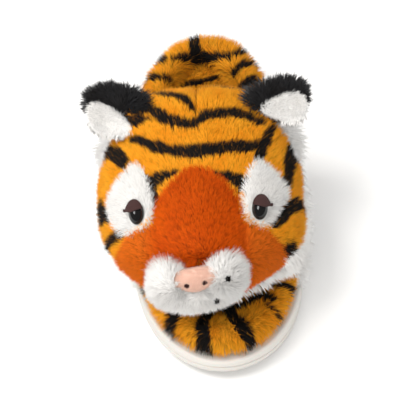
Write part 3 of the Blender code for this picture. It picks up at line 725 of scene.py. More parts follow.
def mesh_of(name, points, tris):
    """Smooth mesh from points in millimetres and triangles, written as whole arrays."""
    mesh = bpy.data.meshes.new(name)
    mesh.vertices.add(len(points))
    mesh.vertices.foreach_set("co", (points * MM).astype(np.float32).ravel())
    mesh.loops.add(tris.size)
    mesh.loops.foreach_set("vertex_index", tris.astype(np.int32).ravel())
    mesh.polygons.add(len(tris))
    mesh.polygons.foreach_set("loop_start", np.arange(0, tris.size, 3, dtype=np.int32))
    mesh.polygons.foreach_set("use_smooth", np.ones(len(tris), bool))
    mesh.update(calc_edges=True)
    return mesh


def place(name, mesh, material):
    """Object at the origin that holds the mesh in its material."""
    mesh.materials.append(material)
    piece = bpy.data.objects.new(name, mesh)
    bpy.context.scene.collection.objects.link(piece)
    return piece


def finish_piece(piece, nodes=()):
    """Hangs a piece on the frame's root body and hides the packed parts it stands for."""
    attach(piece, "root")
    if nodes:
        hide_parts(*nodes)


# Materials


def socket(group, name, kind, value=None, way="INPUT"):
    """New socket on a node group's interface."""
    made = group.interface.new_socket(name=name, in_out=way, socket_type=kind)
    if value is not None:
        made.default_value = value


def coat_group():
    """Node group for plush: two fibre colours blended by tone, a third by patches, stripes, and painted
    shade that darkens the roots.
    """
    group = bpy.data.node_groups.get("plush_coat")
    if group:
        return group
    group = bpy.data.node_groups.new("plush_coat", "ShaderNodeTree")
    for name, grey in (("Light", 1.0), ("Deep", 0.5), ("Patch", 1.0), ("Stripe", 0.0)):
        socket(group, f"{name} fibre", "NodeSocketColor", (grey, grey, grey, 1))
    socket(group, "Painted root shade", "NodeSocketFloat", 0.5)
    socket(group, "Color", "NodeSocketColor", way="OUTPUT")
    nodes, links = group.nodes, group.links
    start, end = nodes.new("NodeGroupInput"), nodes.new("NodeGroupOutput")
    reads = {}
    for name in ("tone", "blend", "stripe", "height"):
        reads[name] = nodes.new("ShaderNodeAttribute")
        reads[name].attribute_name = name

    def mix(factor, a, b, way="MIX"):
        node = nodes.new("ShaderNodeMix")
        node.data_type, node.blend_type = "RGBA", way
        links.new(factor, node.inputs[0])
        links.new(a, node.inputs[6])
        links.new(b, node.inputs[7])
        return node.outputs[2]

    fibre = mix(reads["tone"].outputs["Fac"], start.outputs["Deep fibre"], start.outputs["Light fibre"])
    fibre = mix(reads["blend"].outputs["Fac"], fibre, start.outputs["Patch fibre"])
    fibre = mix(reads["stripe"].outputs["Fac"], fibre, start.outputs["Stripe fibre"])
    # Painted shade: the colour is multiplied down towards each tuft's root, and over the bare skin, for the
    # shade deep in the pile.
    rise = nodes.new("ShaderNodeMapRange")
    rise.interpolation_type = "SMOOTHSTEP"
    links.new(reads["height"].outputs["Fac"], rise.inputs["Value"])
    rise.inputs["From Max"].default_value = 0.8
    links.new(start.outputs["Painted root shade"], rise.inputs["To Min"])
    rise.inputs["To Max"].default_value = 1.0
    dark = nodes.new("ShaderNodeMix")
    dark.data_type = "RGBA"
    dark.blend_type = "MULTIPLY"
    dark.inputs[0].default_value = 1.0
    links.new(fibre, dark.inputs[6])
    links.new(rise.outputs["Result"], dark.inputs[7])
    links.new(dark.outputs[2], end.inputs["Color"])
    return group


def plush(name, light, deep, patch, stripe, root, sheen):
    """Plush material: the coat group feeds the colour, and a soft sheen stands for the fibre tips.

    If a material of that name is there already, it is the one.
    """
    material = bpy.data.materials.get(name)
    if material:
        return material
    material = bpy.data.materials.new(name)
    material.use_nodes = True
    nodes, links = material.node_tree.nodes, material.node_tree.links
    shader = nodes["Principled BSDF"]
    coat = nodes.new("ShaderNodeGroup")
    coat.node_tree = coat_group()
    coat.inputs["Light fibre"].default_value = (*light, 1)
    coat.inputs["Deep fibre"].default_value = (*deep, 1)
    coat.inputs["Patch fibre"].default_value = (*patch, 1)
    coat.inputs["Stripe fibre"].default_value = (*stripe, 1)
    # root: painted shade, the share of the fibre colour that is left at the roots and on the skin
    coat.inputs["Painted root shade"].default_value = root
    links.new(coat.outputs["Color"], shader.inputs["Base Color"])
    shader.inputs["Roughness"].default_value = 0.7
    shader.inputs["Specular IOR Level"].default_value = 0.08
    shader.inputs["Sheen Weight"].default_value = sheen
    shader.inputs["Sheen Roughness"].default_value = 0.45
    return material


def grain_group():
    """Node group for fine grain: two sizes of noise on Object coordinates as height and as a shade."""
    group = bpy.data.node_groups.get("fine_grain")
    if group:
        return group
    group = bpy.data.node_groups.new("fine_grain", "ShaderNodeTree")
    socket(group, "Scale", "NodeSocketFloat", 900.0)
    socket(group, "Height", "NodeSocketFloat", way="OUTPUT")
    socket(group, "Shade", "NodeSocketFloat", way="OUTPUT")
    nodes, links = group.nodes, group.links
    start, end = nodes.new("NodeGroupInput"), nodes.new("NodeGroupOutput")
    where = nodes.new("ShaderNodeTexCoord")
    fine, broad = nodes.new("ShaderNodeTexNoise"), nodes.new("ShaderNodeTexNoise")
    for node in (fine, broad):
        links.new(where.outputs["Object"], node.inputs["Vector"])
    links.new(start.outputs["Scale"], fine.inputs["Scale"])
    fine.inputs["Detail"].default_value = 3.0
    broad.inputs["Scale"].default_value = 22.0
    broad.inputs["Detail"].default_value = 4.0
    links.new(fine.outputs["Fac"], end.inputs["Height"])
    links.new(broad.outputs["Fac"], end.inputs["Shade"])
    return group


def grained(name, light, deep, scale, depth, roughness, **constants):
    """Material with fine grain: noise shades its colour and roughness and feeds its bump."""
    material = bpy.data.materials.new(name)
    material.use_nodes = True
    nodes, links = material.node_tree.nodes, material.node_tree.links
    shader = nodes["Principled BSDF"]
    grain = nodes.new("ShaderNodeGroup")
    grain.node_tree = grain_group()
    grain.inputs["Scale"].default_value = scale
    mix = nodes.new("ShaderNodeMix")
    mix.data_type = "RGBA"
    mix.inputs[6].default_value = (*deep, 1)
    mix.inputs[7].default_value = (*light, 1)
    links.new(grain.outputs["Shade"], mix.inputs[0])
    links.new(mix.outputs[2], shader.inputs["Base Color"])
    rough = nodes.new("ShaderNodeMapRange")
    rough.inputs["To Min"].default_value = roughness[0]
    rough.inputs["To Max"].default_value = roughness[1]
    links.new(grain.outputs["Shade"], rough.inputs["Value"])
    links.new(rough.outputs["Result"], shader.inputs["Roughness"])
    bump = nodes.new("ShaderNodeBump")
    bump.inputs["Distance"].default_value = depth
    bump.inputs["Strength"].default_value = 0.6
    links.new(grain.outputs["Height"], bump.inputs["Height"])
    links.new(bump.outputs["Normal"], shader.inputs["Normal"])
    for key, value in constants.items():
        shader.inputs[key.replace("_", " ")].default_value = value
    return material


def striped_plush(colours):
    """Orange plush with black stripes, which runs into white by its patch colour."""
    fibres = colours.amber, colours.orange, colours.white, colours.charcoal
    # Painted shade darkens the roots to 0.48 of their colour.
    return plush("striped_plush_fibre", *fibres, root=0.48, sheen=0.02)


def white_plush(colours):
    """White plush, its roots only a little darkened by painted shade."""
    fibres = colours.white, colours.cream, colours.white, colours.charcoal
    # Painted shade darkens the roots to 0.72 of their colour.
    return plush("white_plush_fibre", *fibres, root=0.72, sheen=0.2)


def black_plush(colours):
    """Black plush of the ears and whisker marks."""
    fibres = colours.slate, colours.charcoal, colours.white, colours.charcoal
    # Painted shade darkens the roots to 0.5 of their colour.
    return plush("black_plush_fibre", *fibres, root=0.5, sheen=0.12)


# Pieces


def level_grid(levels, count, rule):
    """Rings of the outline at each level's inset and height rule, as a grid of levels by turns."""
    turn = turns(count)
    rings = []
    for inset, *kind in levels:
        ring = outline(turn, np.broadcast_to(inset, count))
        rings.append(np.concatenate([ring, rule(ring, *kind)[:, None]], 1))
    return np.stack(rings)


def cross_grid(ring, columns, rule):
    """Surface that closes a ring: rows run from each inner point to the outer point that faces it."""
    count = len(ring)
    k = np.arange(count // 2 + 1)
    one, two = ring[k], ring[-k]
    t = np.linspace(0, 1, columns + 1)[None, :, None]
    at = one[:, None] + (two - one)[:, None] * t
    inside = at.copy()
    inside[..., 2] = rule(at)
    edge = np.zeros(inside.shape[:2], bool)
    edge[0], edge[-1], edge[:, 0], edge[:, -1] = True, True, True, True
    return np.where(edge[..., None], at, inside)


def make_sole(colours):
    """Foam sole: outline rings from the underside, round its edge, over a groove and the top edge."""

    def height(ring, kind, offset):
        return (underside(ring[:, 1]) if kind == "under" else sole_top(ring[:, 1])) + offset

    levels = [(EDGE_RADIUS + 9, "under", 0.0)]
    for a in np.linspace(0, math.pi / 2, 9):
        levels.append((EDGE_RADIUS * (1 - math.sin(a)), "under", EDGE_RADIUS * (1 - math.cos(a))))
    for t in np.linspace(0, 1, 9):
        dip = GROOVE_DEPTH * math.sin(math.pi * t) ** 0.7
        levels.append((dip, "under", GROOVE_HEIGHT + GROOVE_WIDTH * t))
    for a in np.linspace(0, math.pi / 2, 6):
        levels.append((TOP_RADIUS * (1 - math.cos(a)), "top", TOP_RADIUS * (math.sin(a) - 1)))
    levels.append((TOE_LEDGE, "top", 0.0))
    levels.append((TOE_LEDGE + RIM_WIDTH, "top", 0.0))
    wall = level_grid(levels, 220, height)

    def tread(at):
        y = at[..., 1]
        wave = np.sin((y + 7 * np.sin(at[..., 0] / 9)) * 2 * math.pi / 11)
        return underside(y) + 1.1 * smooth((wave - 0.45) * 4)

    low = cross_grid(wall[0], 48, tread)
    high = cross_grid(wall[-1], 10, lambda at: sole_top(at[..., 1]))
    skin = Skin((wall, False, True), (low, False, False), (high, False, False))
    deep = tuple(0.93 * c for c in colours.foam)
    grain = {"scale": 1400.0, "depth": 0.00012, "roughness": (0.42, 0.55)}
    glow = {"Subsurface_Weight": 0.15, "Subsurface_Scale": 0.004}
    material = grained("foam", colours.foam, deep, **grain, **glow)
    piece = place("foam_sole", mesh_of("foam_sole", skin.points, skin.tris), material)
    piece.data.set_sharp_from_angle(angle=math.radians(50))
    finish_piece(piece, ["sole"])


def rim_skin():
    """Padded tube: an oval carried round the outline, flatter below, a little lumpy."""
    turn = turns(240)
    around = turns(26)
    path = outline(turn, np.zeros(240))
    width = (rim_width(path[:, 1]) - 2.2)[None]
    a = around[:, None]
    inset = (ledge(path[:, 1]) + rim_width(path[:, 1]) / 2)[None] + np.cos(a) * width / 2
    at = outline(np.broadcast_to(turn, inset.shape), inset)
    up = np.sin(a)
    lift = RIM_HEIGHT * (0.62 + up * np.where(up < 0, 0.62, 1.0)) / 1.62 - 1.4 * smooth(up)
    z = sole_top(at[..., 1]) + SOLE_SEAT + lift
    grid = np.concatenate([at, z[..., None]], -1)
    heel, toe = smooth((at[..., 1] - 30) / 50), smooth((-45 - at[..., 1]) / 35)
    heel_bulge = heel * (1.8 + 2.2 * smooth(at[..., 0] / 20))
    toe_bulge = toe * (1.6 + 1.6 * smooth(-at[..., 0] / 25))
    bulge = (0.5 - 0.5 * np.cos(a)) * smooth(up + 0.7) * (heel_bulge + toe_bulge)
    grid += outward_flow(grid.reshape(-1, 3)).reshape(grid.shape) * bulge[..., None]
    grid[..., 2] += 0.9 * noise(grid, 15.0, 5) * smooth(up + 0.3) + 1.6 * heel * smooth(up)
    return Skin((grid, True, True))


def outward_flow(p):
    """Direction in plan away from the sole's middle line."""
    along = share_at(p[:, 1])
    station = np.clip(p[:, 1], -LENGTH / 2 + 55, LENGTH / 2 - 42)
    return unit(p - np.stack([centre_line(along), station, p[:, 2]], 1))


def make_rim(colours, sizes):
    """Padded rim in striped plush, its pile combed outwards and down."""
    skin = rim_skin()
    coat = Coat(lambda p: (stripe_mask(p, RIM_STRIPES), np.zeros(len(p))), 101, skin)

    def wanted(p, n):
        under_band = (p[:, 1] > -66) & (p[:, 1] < 16)
        hidden = under_band & (n[:, 2] > -0.2) & (np.abs(dot(n, outward_flow(p))[:, 0]) < 0.75)
        return np.where(n[:, 2] < -0.62, 0.0, np.where(hidden, 0.35, 1.0))

    root, normal = scatter(skin, density=2.05, rng=coat.rng, wanted=wanted)
    flow = outward_flow(root) + np.array([0, 0, -0.5])
    ends = np.maximum(smooth((root[:, 1] - 50) / 40), smooth((-80 - root[:, 1]) / 30))
    coat.add(root, normal, flow, lean=34 - 8 * ends, length=sizes.pile / MM * (1 + 0.35 * ends), width=0.62)
    finish_piece(coat.build("plush_rim", striped_plush(colours)), ["rim"])


def make_footbed(colours, sizes):
    """Soft pad inside the rim: crowned between its edges and dished under the heel."""
    count = 200
    turn = turns(count)
    path = outline(turn, np.zeros(count))
    edge = ledge(path[:, 1]) + rim_width(path[:, 1]) + GAP
    profile = ((5.0, 0.0), (1.0, 0.1), (0.0, 3.0), (0.6, 5.0), (2.4, 6.6), (5.0, 7.4))
    levels = [(edge + inset, rise) for inset, rise in profile]
    wall = level_grid(levels, count, lambda ring, rise: sole_top(ring[:, 1]) + SOLE_SEAT + rise)

    def top(at):
        heel = np.exp(-(((at[..., 0] - 1) / 24) ** 2) - ((at[..., 1] - 84) / 30) ** 2)
        return sole_top(at[..., 1]) + SOLE_SEAT + 7.8 - 1.6 * heel + 0.5 * noise(at, 14.0, 6)

    low = cross_grid(wall[0], 12, lambda at: sole_top(at[..., 1]) + SOLE_SEAT)
    skin = Skin((wall, False, True), (low, False, False), (cross_grid(wall[-1], 28, top), False, False))
    coat = Coat(lambda p: (stripe_mask(p, FOOTBED_STRIPES), np.zeros(len(p))), 102, skin)

    def wanted(p, n):
        hidden = (p[:, 1] > -60) & (p[:, 1] < 0)
        return np.where(n[:, 2] < 0.2, 0.0, np.where(hidden, 0.25, 1.0))

    root, normal = scatter(skin, density=2.2, rng=coat.rng, wanted=wanted)
    flow = np.tile([0.1, -1.0, 0.0], (len(root), 1))
    coat.add(root, normal, flow, lean=38, length=0.8 * sizes.pile / MM, width=0.61)
    finish_piece(coat.build("plush_footbed", striped_plush(colours)), ["footbed"])


def make_upper(colours, sizes):
    """Band wall over the instep with its short white lining: the arch's section carried along it."""
    stations, steps = 36, 52
    y = np.linspace(BAND_FRONT - LENGTH / 2, LENGTH / 2 - THROAT_SETBACK, stations)[:, None]
    angle = np.linspace(0, math.pi, steps)[None]
    rounding = np.zeros_like(y)
    rounding[0], rounding[-1] = 1.0, -1.0
    sheets = []
    for swell in (0.0, 0.5 * WALL, WALL):
        at = y + (0.0 if swell == 0.5 * WALL else rounding)
        x, z = arch(at, angle, swell)
        sheets.append(np.stack([x, np.broadcast_to(at, x.shape), z], -1))
    ring = np.concatenate([sheets[0], sheets[1][:, -1:], sheets[2][:, ::-1], sheets[1][:, :1]], 1)
    ends = []
    for k in (0, -1):
        ends.append(np.stack([sheets[0][k], sheets[1][k], sheets[2][k]]))
        for foot in (0, -1):
            ends.append(np.stack([sheets[j][[k, k], foot] for j in (0, 1, 2)]))
    skin = Skin((ring, False, True), (ends[0], False, False), (ends[3], False, False))
    coat = Coat(plain, 103, skin)

    def lined(p, n):
        middle = np.stack([centre_line(share_at(p[:, 1])), p[:, 1], np.full(len(p), 40.0)], 1)
        within = dot(n, middle - p)[:, 0] > 0
        return np.where(within | (np.abs(n[:, 1]) > 0.5), 1.0, 0.0)

    def low_outside(p, n):
        low = (p[:, 2] < sole_top(p[:, 1]) + 30) & (n[:, 2] > -0.5)
        return np.where((lined(p, n) < 0.5) & low, 1.0, 0.0)

    root, normal = scatter(skin, density=0.65, rng=coat.rng, wanted=lined)
    flow = np.tile([0.0, 1.0, -0.4], (len(root), 1))
    coat.add(root, normal, flow, lean=45, length=0.65 * sizes.pile / MM, width=1.05)
    root, normal = scatter(skin, density=1.1, rng=coat.rng, wanted=low_outside)
    flow = np.tile([0.0, 0.2, -1.0], (len(root), 1))
    coat.add(root, normal, flow, lean=48, length=1.5 * sizes.pile / MM, width=0.95)
    finish_piece(coat.build("band_and_lining", white_plush(colours)), ["upper"])


def head_skin():
    """Stuffed head as a closed grid of stations by ring.

    The outer line is two ellipse quarters a side with the stuffing's relief, the inner line
    follows the band's arch, and strips close the two ends.
    """
    stations, low_steps, high_steps, inner_steps = 64, 9, 28, 44
    share = (1 - np.cos(np.linspace(0.0, 1.0, stations) * math.pi * 0.9)) / (1 - math.cos(math.pi * 0.9))
    y = HEAD_START + share * (HEAD_END - HEAD_START)
    half_base, mid, crown, low, skirt = head_line(y)
    t = np.linspace(0, 1, inner_steps)[None]
    inner_angle = skirt[:, None] + (math.pi - 2 * skirt[:, None]) * t
    under_x, under_z = arch(y[:, None], inner_angle, WALL + HEAD_SEAT)
    chin = smooth((BAND_FRONT - LENGTH / 2 - y) / CHIN_BLEND)[:, None]
    chin_x = CHIN_UNDER * half_base[:, None] * np.cos(inner_angle) / np.cos(skirt)[:, None]
    under_x = under_x + (chin_x - under_x) * chin
    outer = []
    for sign, foot in ((1, under_x[:, 0]), (-1, under_x[:, -1])):
        half = np.maximum(half_base, sign * foot + 1.5)
        tuck = np.arccos(np.minimum(sign * foot / half, 0.999))[:, None]
        upper_turns = np.tile(np.linspace(0, math.pi / 2, high_steps), (stations, 1))
        a = np.concatenate([-tuck * np.linspace(1, 0, low_steps)[None, :-1], upper_turns], 1)
        down = (mid - low)[:, None] / np.sin(tuck)
        rise = (crown - mid)[:, None] * np.abs(np.sin(a)) ** 0.86
        z = mid[:, None] + np.where(a < 0, down * np.sin(a), rise)
        x = sign * half[:, None] * np.cos(a)
        level = np.broadcast_to(y[:, None], x.shape)
        z = z + stuffing_relief(x, level) * smooth(np.sin(np.clip(a, 0, 2)) * 1.6)
        outer.append(np.stack([x, level, z], -1))
    over = np.concatenate([outer[0], outer[1][:, ::-1][:, 1:]], 1)
    under = np.stack([under_x, np.broadcast_to(y[:, None], under_x.shape), under_z], -1)
    cols = over.shape[1]
    pick = np.linspace(0, inner_steps - 1, cols)
    base = np.floor(pick).astype(int).clip(0, inner_steps - 2)
    part = (pick - base)[None, :, None]
    floor = under[:, base] * (1 - part) + under[:, base + 1] * part
    front = np.stack([over[0], floor[0]])
    back = np.stack([over[-1], 0.5 * (over[-1] + floor[-1]) + [0, 1.2, 0], floor[-1]])
    return Skin((over, False, False), (floor, False, False), (front, False, False), (back, False, False))


def face_angle(p):
    """Arch angle of a head point above the widest line, in degrees, less the face's lower edge there."""
    half, mid, _, low, _ = head_line(np.clip(p[:, 1], HEAD_START, HEAD_END))
    over = np.degrees(np.arccos(np.clip(np.abs(p[:, 0]) / half, 0, 1)))
    angle = np.where(p[:, 2] > mid, over, -90 * (mid - p[:, 2]) / (mid - low))
    share = (p[:, 1] - HEAD_START) / (HEAD_END - HEAD_START)
    return angle - shares(FACE_EDGE, share)[..., 0]


def panel_curve(rows, side, mirrored, count):
    """Closed curve in plan through a panel's corners, by Catmull-Rom pieces, at even steps."""
    corner = [(a * HEAD_WIDTH / 2, HEAD_START + b * (HEAD_END - HEAD_START)) for a, b in rows]
    if mirrored:
        corner += [(-x, y) for x, y in reversed(corner[1:-1])]
    points = np.array(corner) * (side, 1)
    t = np.linspace(0, len(points), count, endpoint=False)
    k = np.floor(t).astype(int)
    t = (t - k)[:, None]
    p0, p1, p2, p3 = (points[(k + j - 1) % len(points)] for j in range(4))
    square, cube = 2 * p0 - 5 * p1 + 4 * p2 - p3, 3 * p1 - p0 - 3 * p2 + p3
    return 0.5 * (2 * p1 + (p2 - p0) * t + square * t**2 + cube * t**3)


def scaled(curve, factor):
    """A closed curve grown or shrunk about its middle."""
    middle = curve.mean(0)
    return middle + (curve - middle) * factor


def inside(p, curve):
    """1 for points in plan inside a closed curve, by counting crossings of its edges."""
    a, b = curve, np.roll(curve, -1, axis=0)
    y = p[:, 1][:, None]
    crosses = (a[:, 1] > y) != (b[:, 1] > y)
    with np.errstate(divide="ignore", invalid="ignore"):
        x = a[:, 0] + (y - a[:, 1]) / (b[:, 1] - a[:, 1]) * (b[:, 0] - a[:, 0])
    return (crosses & (p[:, 0][:, None] < x)).sum(1) % 2


def face_flow(p):
    """Hair lies away from the nose, backwards over the head."""
    away = p - np.array([0.0, -118.0, 0.0])
    away[:, 2] = 0
    return unit(unit(away) + np.array([0, 0.5, 0.0]))


def make_head(colours, sizes):
    """Striped face over the stuffed head, and the long white ruff on its lower sides."""
    skin = head_skin()
    skin.points -= skin.normals * SKIN_SINK

    def colour(p):
        angle = face_angle(p)
        return stripe_mask(p, HEAD_STRIPES) * (angle > -2), np.clip(-angle / 5 + 0.3, 0, 1)

    coat = Coat(colour, 104, skin)
    covers = [panel_curve(BRIDGE_OUTLINE, 1, True, 90)]
    covers += [panel_curve(PATCH_OUTLINE, side, False, 60) for side in (1, -1)]
    covers = [scaled(curve, 0.97) for curve in covers]

    def on_outside(p, n):
        low = head_line(p[:, 1])[3]
        middle = np.stack([np.full(len(p), 3.0), p[:, 1], low], 1)
        around = (dot(n, p - middle)[:, 0] > 0) & ((n[:, 2] > -0.8) | (p[:, 1] < -100))
        return around | ((n[:, 1] > 0.6) & (p[:, 1] > HEAD_END - 3))

    def on_face(p, n):
        hidden = (sum(inside(p, c) for c in covers) > 0) | cheek_corner(p)
        return np.where(on_outside(p, n) & (face_angle(p) > 0) & ~hidden, 1.0, 0.0)

    root, normal = scatter(skin, density=3.8, rng=coat.rng, wanted=on_face)
    x, y = root[:, :1], root[:, 1:2]
    parting = 0.9 * np.sign(x + 0.5) * np.exp(-((x / 6) ** 2)) * smooth((y + 20) / 20)
    flow = face_flow(root) + parting * np.array([1.0, 0, 0])
    coat.add(root, normal, flow, lean=38, length=sizes.pile / MM, width=0.53)
    finish_piece(coat.build("face_plush", striped_plush(colours)), ["head"])

    def on_side(p, n):
        cheek = cheek_corner(p) & (p[:, 2] > chin_edge() + 3)
        return np.where(on_outside(p, n) & (face_angle(p) <= 2.0) & (p[:, 1] > -104) & ~cheek, 1.0, 0.0)

    thin = head_skin()
    thin.points -= thin.normals * RUFF_SINK
    ruff = Coat(plain, 105)
    root, normal = scatter(thin, density=1.2, rng=ruff.rng, wanted=on_side)
    side = np.sign(root[:, :1])
    flow = side * np.array([0.35, 0.0, 0.0]) + np.array([0.0, 0.25, -1.0])
    lower = smooth((head_line(root[:, 1])[1] - root[:, 2]) / 20 + 0.5)
    front = smooth((-40 - root[:, 1]) / 30)
    length = np.where(root[:, 0] > 0, 1.2 - 0.5 * front, 1 - 0.45 * front)
    length = length * (0.75 + 0.25 * smooth(-face_angle(root) / 20))
    length = length * sizes.ruff / MM
    lean = 40 + 18 * lower
    ruff.add(root, normal, flow, lean, length, width=0.9, clump=5.0, pull=0.45, bend=0.12, spread=0.16)
    finish_piece(ruff.build("side_ruff", white_plush(colours)))


def cheek_corner(p):
    """True where the rust plush runs on past its panel, round the head's front beside the muzzle."""
    curve = panel_curve(BRIDGE_OUTLINE, 1, True, 90)
    wide = scaled(curve, np.where(curve[:, :1] > 0, 1.07, 1.16))
    level = np.stack([p[:, 0], np.maximum(p[:, 1], -95.0)], 1)
    return (inside(level, wide) > 0) & (p[:, 1] < -83)


def panel_skin(curve, lift, relief=None):
    """Sewn panel: rings shrink from the curve to its middle, a crowned sheet over a flat one."""
    middle = curve.mean(0)
    share = 1 - (1 - np.linspace(0, 1, 24)) ** 1.6
    at = middle + (curve - middle)[None] * share[::-1][:, None, None]
    sheets = []
    for top in (True, False):
        x, y = at[..., 0], at[..., 1]
        edge = share[::-1][:, None] * np.ones_like(x)
        height = 0.3 + (lift - 0.3) * (1 - edge**6) ** 0.5 if top else np.full_like(x, 0.3)
        if top and relief:
            height = height + relief(x, y) * (1 - edge**4)
        sheets.append(on_head(x, y, height)[0])
    return Skin((sheets[0], False, True), (sheets[1], False, True))


def bridge_relief(x, y):
    """Nose bridge stands up between the cheeks, with a fold along its right side."""
    ridge = 2.2 * np.exp(-((x / 17) ** 2)) * smooth((-46 - y) / 20)
    along = smooth((-70 - y) / 8)
    fold = np.exp(-(((x - 27.5 - 0.05 * (y + 80)) / 1.6) ** 2)) * 2.2
    fold_left = np.exp(-(((x + 28) / 2.2) ** 2)) * 1.0
    cheek = 1.2 * np.exp(-(((np.abs(x) - 38) / 9) ** 2))
    return ridge + (cheek - fold - fold_left) * along


def make_bridge(colours, sizes):
    """Rust panel of nose bridge and cheeks, lighter on the cheeks."""
    curve = panel_curve(BRIDGE_OUTLINE, 1, True, 140)
    skin = panel_skin(curve, PANEL - 0.2, bridge_relief)

    def colour(p):
        cheek = smooth((np.abs(p[:, 0]) - 24) / 12) * smooth((-66 - p[:, 1]) / 8)
        return np.zeros(len(p)), 0.75 * cheek

    def on_top(p, n):
        return np.where(p[:, 2] > head_top(p[:, 0], p[:, 1]) + 0.6, 1.0, 0.0)

    coat = Coat(colour, 106, skin)
    root, normal = scatter(skin, density=3.8, rng=coat.rng, wanted=on_top)
    coat.add(root, normal, face_flow(root), lean=38, length=0.9 * sizes.pile / MM, width=0.52, clump=3.2)
    core = scaled(curve, 0.94)
    low = chin_edge() + 4

    def beside(p, n):
        shown = cheek_corner(p) & (inside(p, core) < 1) & (p[:, 2] > low) & (n[:, 2] > -0.3)
        return np.where(shown, 1.0, 0.0)

    root, normal = scatter(head_skin(), density=3.6, rng=coat.rng, wanted=beside)
    short = 0.6 + 0.4 * smooth((root[:, 2] - low) / 8)
    flow = np.sign(root[:, :1]) * [1.0, 0, 0] + [0, 0, -0.4]
    coat.add(root - normal * SKIN_SINK, normal, flow, lean=34, length=short * sizes.pile / MM, width=0.54)
    fibres = colours.rust, colours.russet, colours.copper, colours.charcoal
    # Painted shade darkens the roots to 0.45 of their colour.
    material = plush("rust_plush_fibre", *fibres, root=0.45, sheen=0.02)
    finish_piece(coat.build("rust_bridge", material), ["bridge"])


def eye_frame(side):
    """Middle of an eye's seat on the face and its three axes: across, along and out."""
    x, y = np.array([side * EYE_SPREAD]), np.array([HEAD_START + EYE_SETBACK])
    at, out = on_head(x, y, np.array([GAP + PANEL + GAP]))
    out = out[0]
    along = unit(np.array([0.0, 1.0, 0.0]) - out * out[1])
    return at[0], np.cross(along, out), along, out


def make_patches(colours, sizes):
    """White panels round the eyes, their pile combed away from each eye."""
    for name, side in (("left", -1), ("right", 1)):
        curve = panel_curve(PATCH_OUTLINE, side, False, 80)
        if side > 0:
            outer = smooth((curve[:, :1] - 38) / 10) * smooth((-48 - curve[:, 1:]) / 16)
            curve = curve + outer * [-3.4, 3.0]
        skin = panel_skin(curve, PANEL - 0.2)
        coat = Coat(plain, 107 + side, skin)
        seat, across, along, _ = eye_frame(side)

        def wanted(p, n):
            u, v = (p - seat) @ across, (p - seat) @ along
            clear = (u / (EYE_WIDTH / 2 + 0.6)) ** 2 + (v / (EYE_LENGTH / 2 + 0.6)) ** 2 > 1
            clear &= (side * u - EYE_WIDTH / 2 - 1.0) ** 2 + (v - 2.6) ** 2 > 5
            return np.where(clear & (p[:, 2] > head_top(p[:, 0], p[:, 1]) + 0.9), 1.0, 0.0)

        root, normal = scatter(skin, density=4.2, rng=coat.rng, wanted=wanted)
        flow = unit(root - seat) + 0.4 * face_flow(root)
        length = 0.9 * sizes.pile / MM
        coat.add(root, normal, flow, lean=36, length=length, width=0.49, clump=3.0, pull=0.45)
        piece = coat.build(f"white_patch_{name}", white_plush(colours))
        finish_piece(piece, [f"eye_patch_{name}"])


def muzzle_middle():
    """Middle of the muzzle's ball, and the point between its two lobes."""
    y = HEAD_START + MUZZLE_SETBACK
    lobes = np.array([MUZZLE_SHIFT, y, float(arch(y, math.pi / 2, 0.0)[1]) + MUZZLE_RISE])
    return lobes - (0.0, 0.0, CHIN_DROP / 2), lobes


def muzzle_reach(ray, grow):
    """How far the muzzle's skin lies along each ray: a soft maximum over two lobes and a chin."""
    middle, lobes = muzzle_middle()
    total = np.zeros(ray.shape[:-1])
    lobe = (LOBE_WIDTH, LOBE_LENGTH, LOBE_HEIGHT)
    for size, offset in (
        (lobe, (-LOBE_SPREAD, 0.0, 0.0)),
        (lobe, (LOBE_SPREAD, 0.0, 0.0)),
        ((CHIN_WIDTH, LOBE_LENGTH, LOBE_HEIGHT), (0.0, 0.0, -CHIN_DROP)),
    ):
        half = np.array(size) / 2 + grow
        start = (middle - lobes - offset) / half
        step = ray / half
        a, b, c = (step**2).sum(-1), step @ start, start @ start - 1
        room = np.clip(b * b - a * c, 0, None)
        far = np.where(b * b > a * c, (np.sqrt(room) - b) / a, 0.0)
        total += np.clip(far, 0, None) ** MUZZLE_BLEND
    return total ** (1 / MUZZLE_BLEND)


def rolled(points):
    """Points of the muzzle and nose, rolled a little about a line from the face to the viewer."""
    middle = muzzle_middle()[0]
    roll = Matrix.Rotation(math.radians(MUZZLE_ROLL), 3, Vector(FACING))
    return (points - middle) @ np.array(roll).T + middle


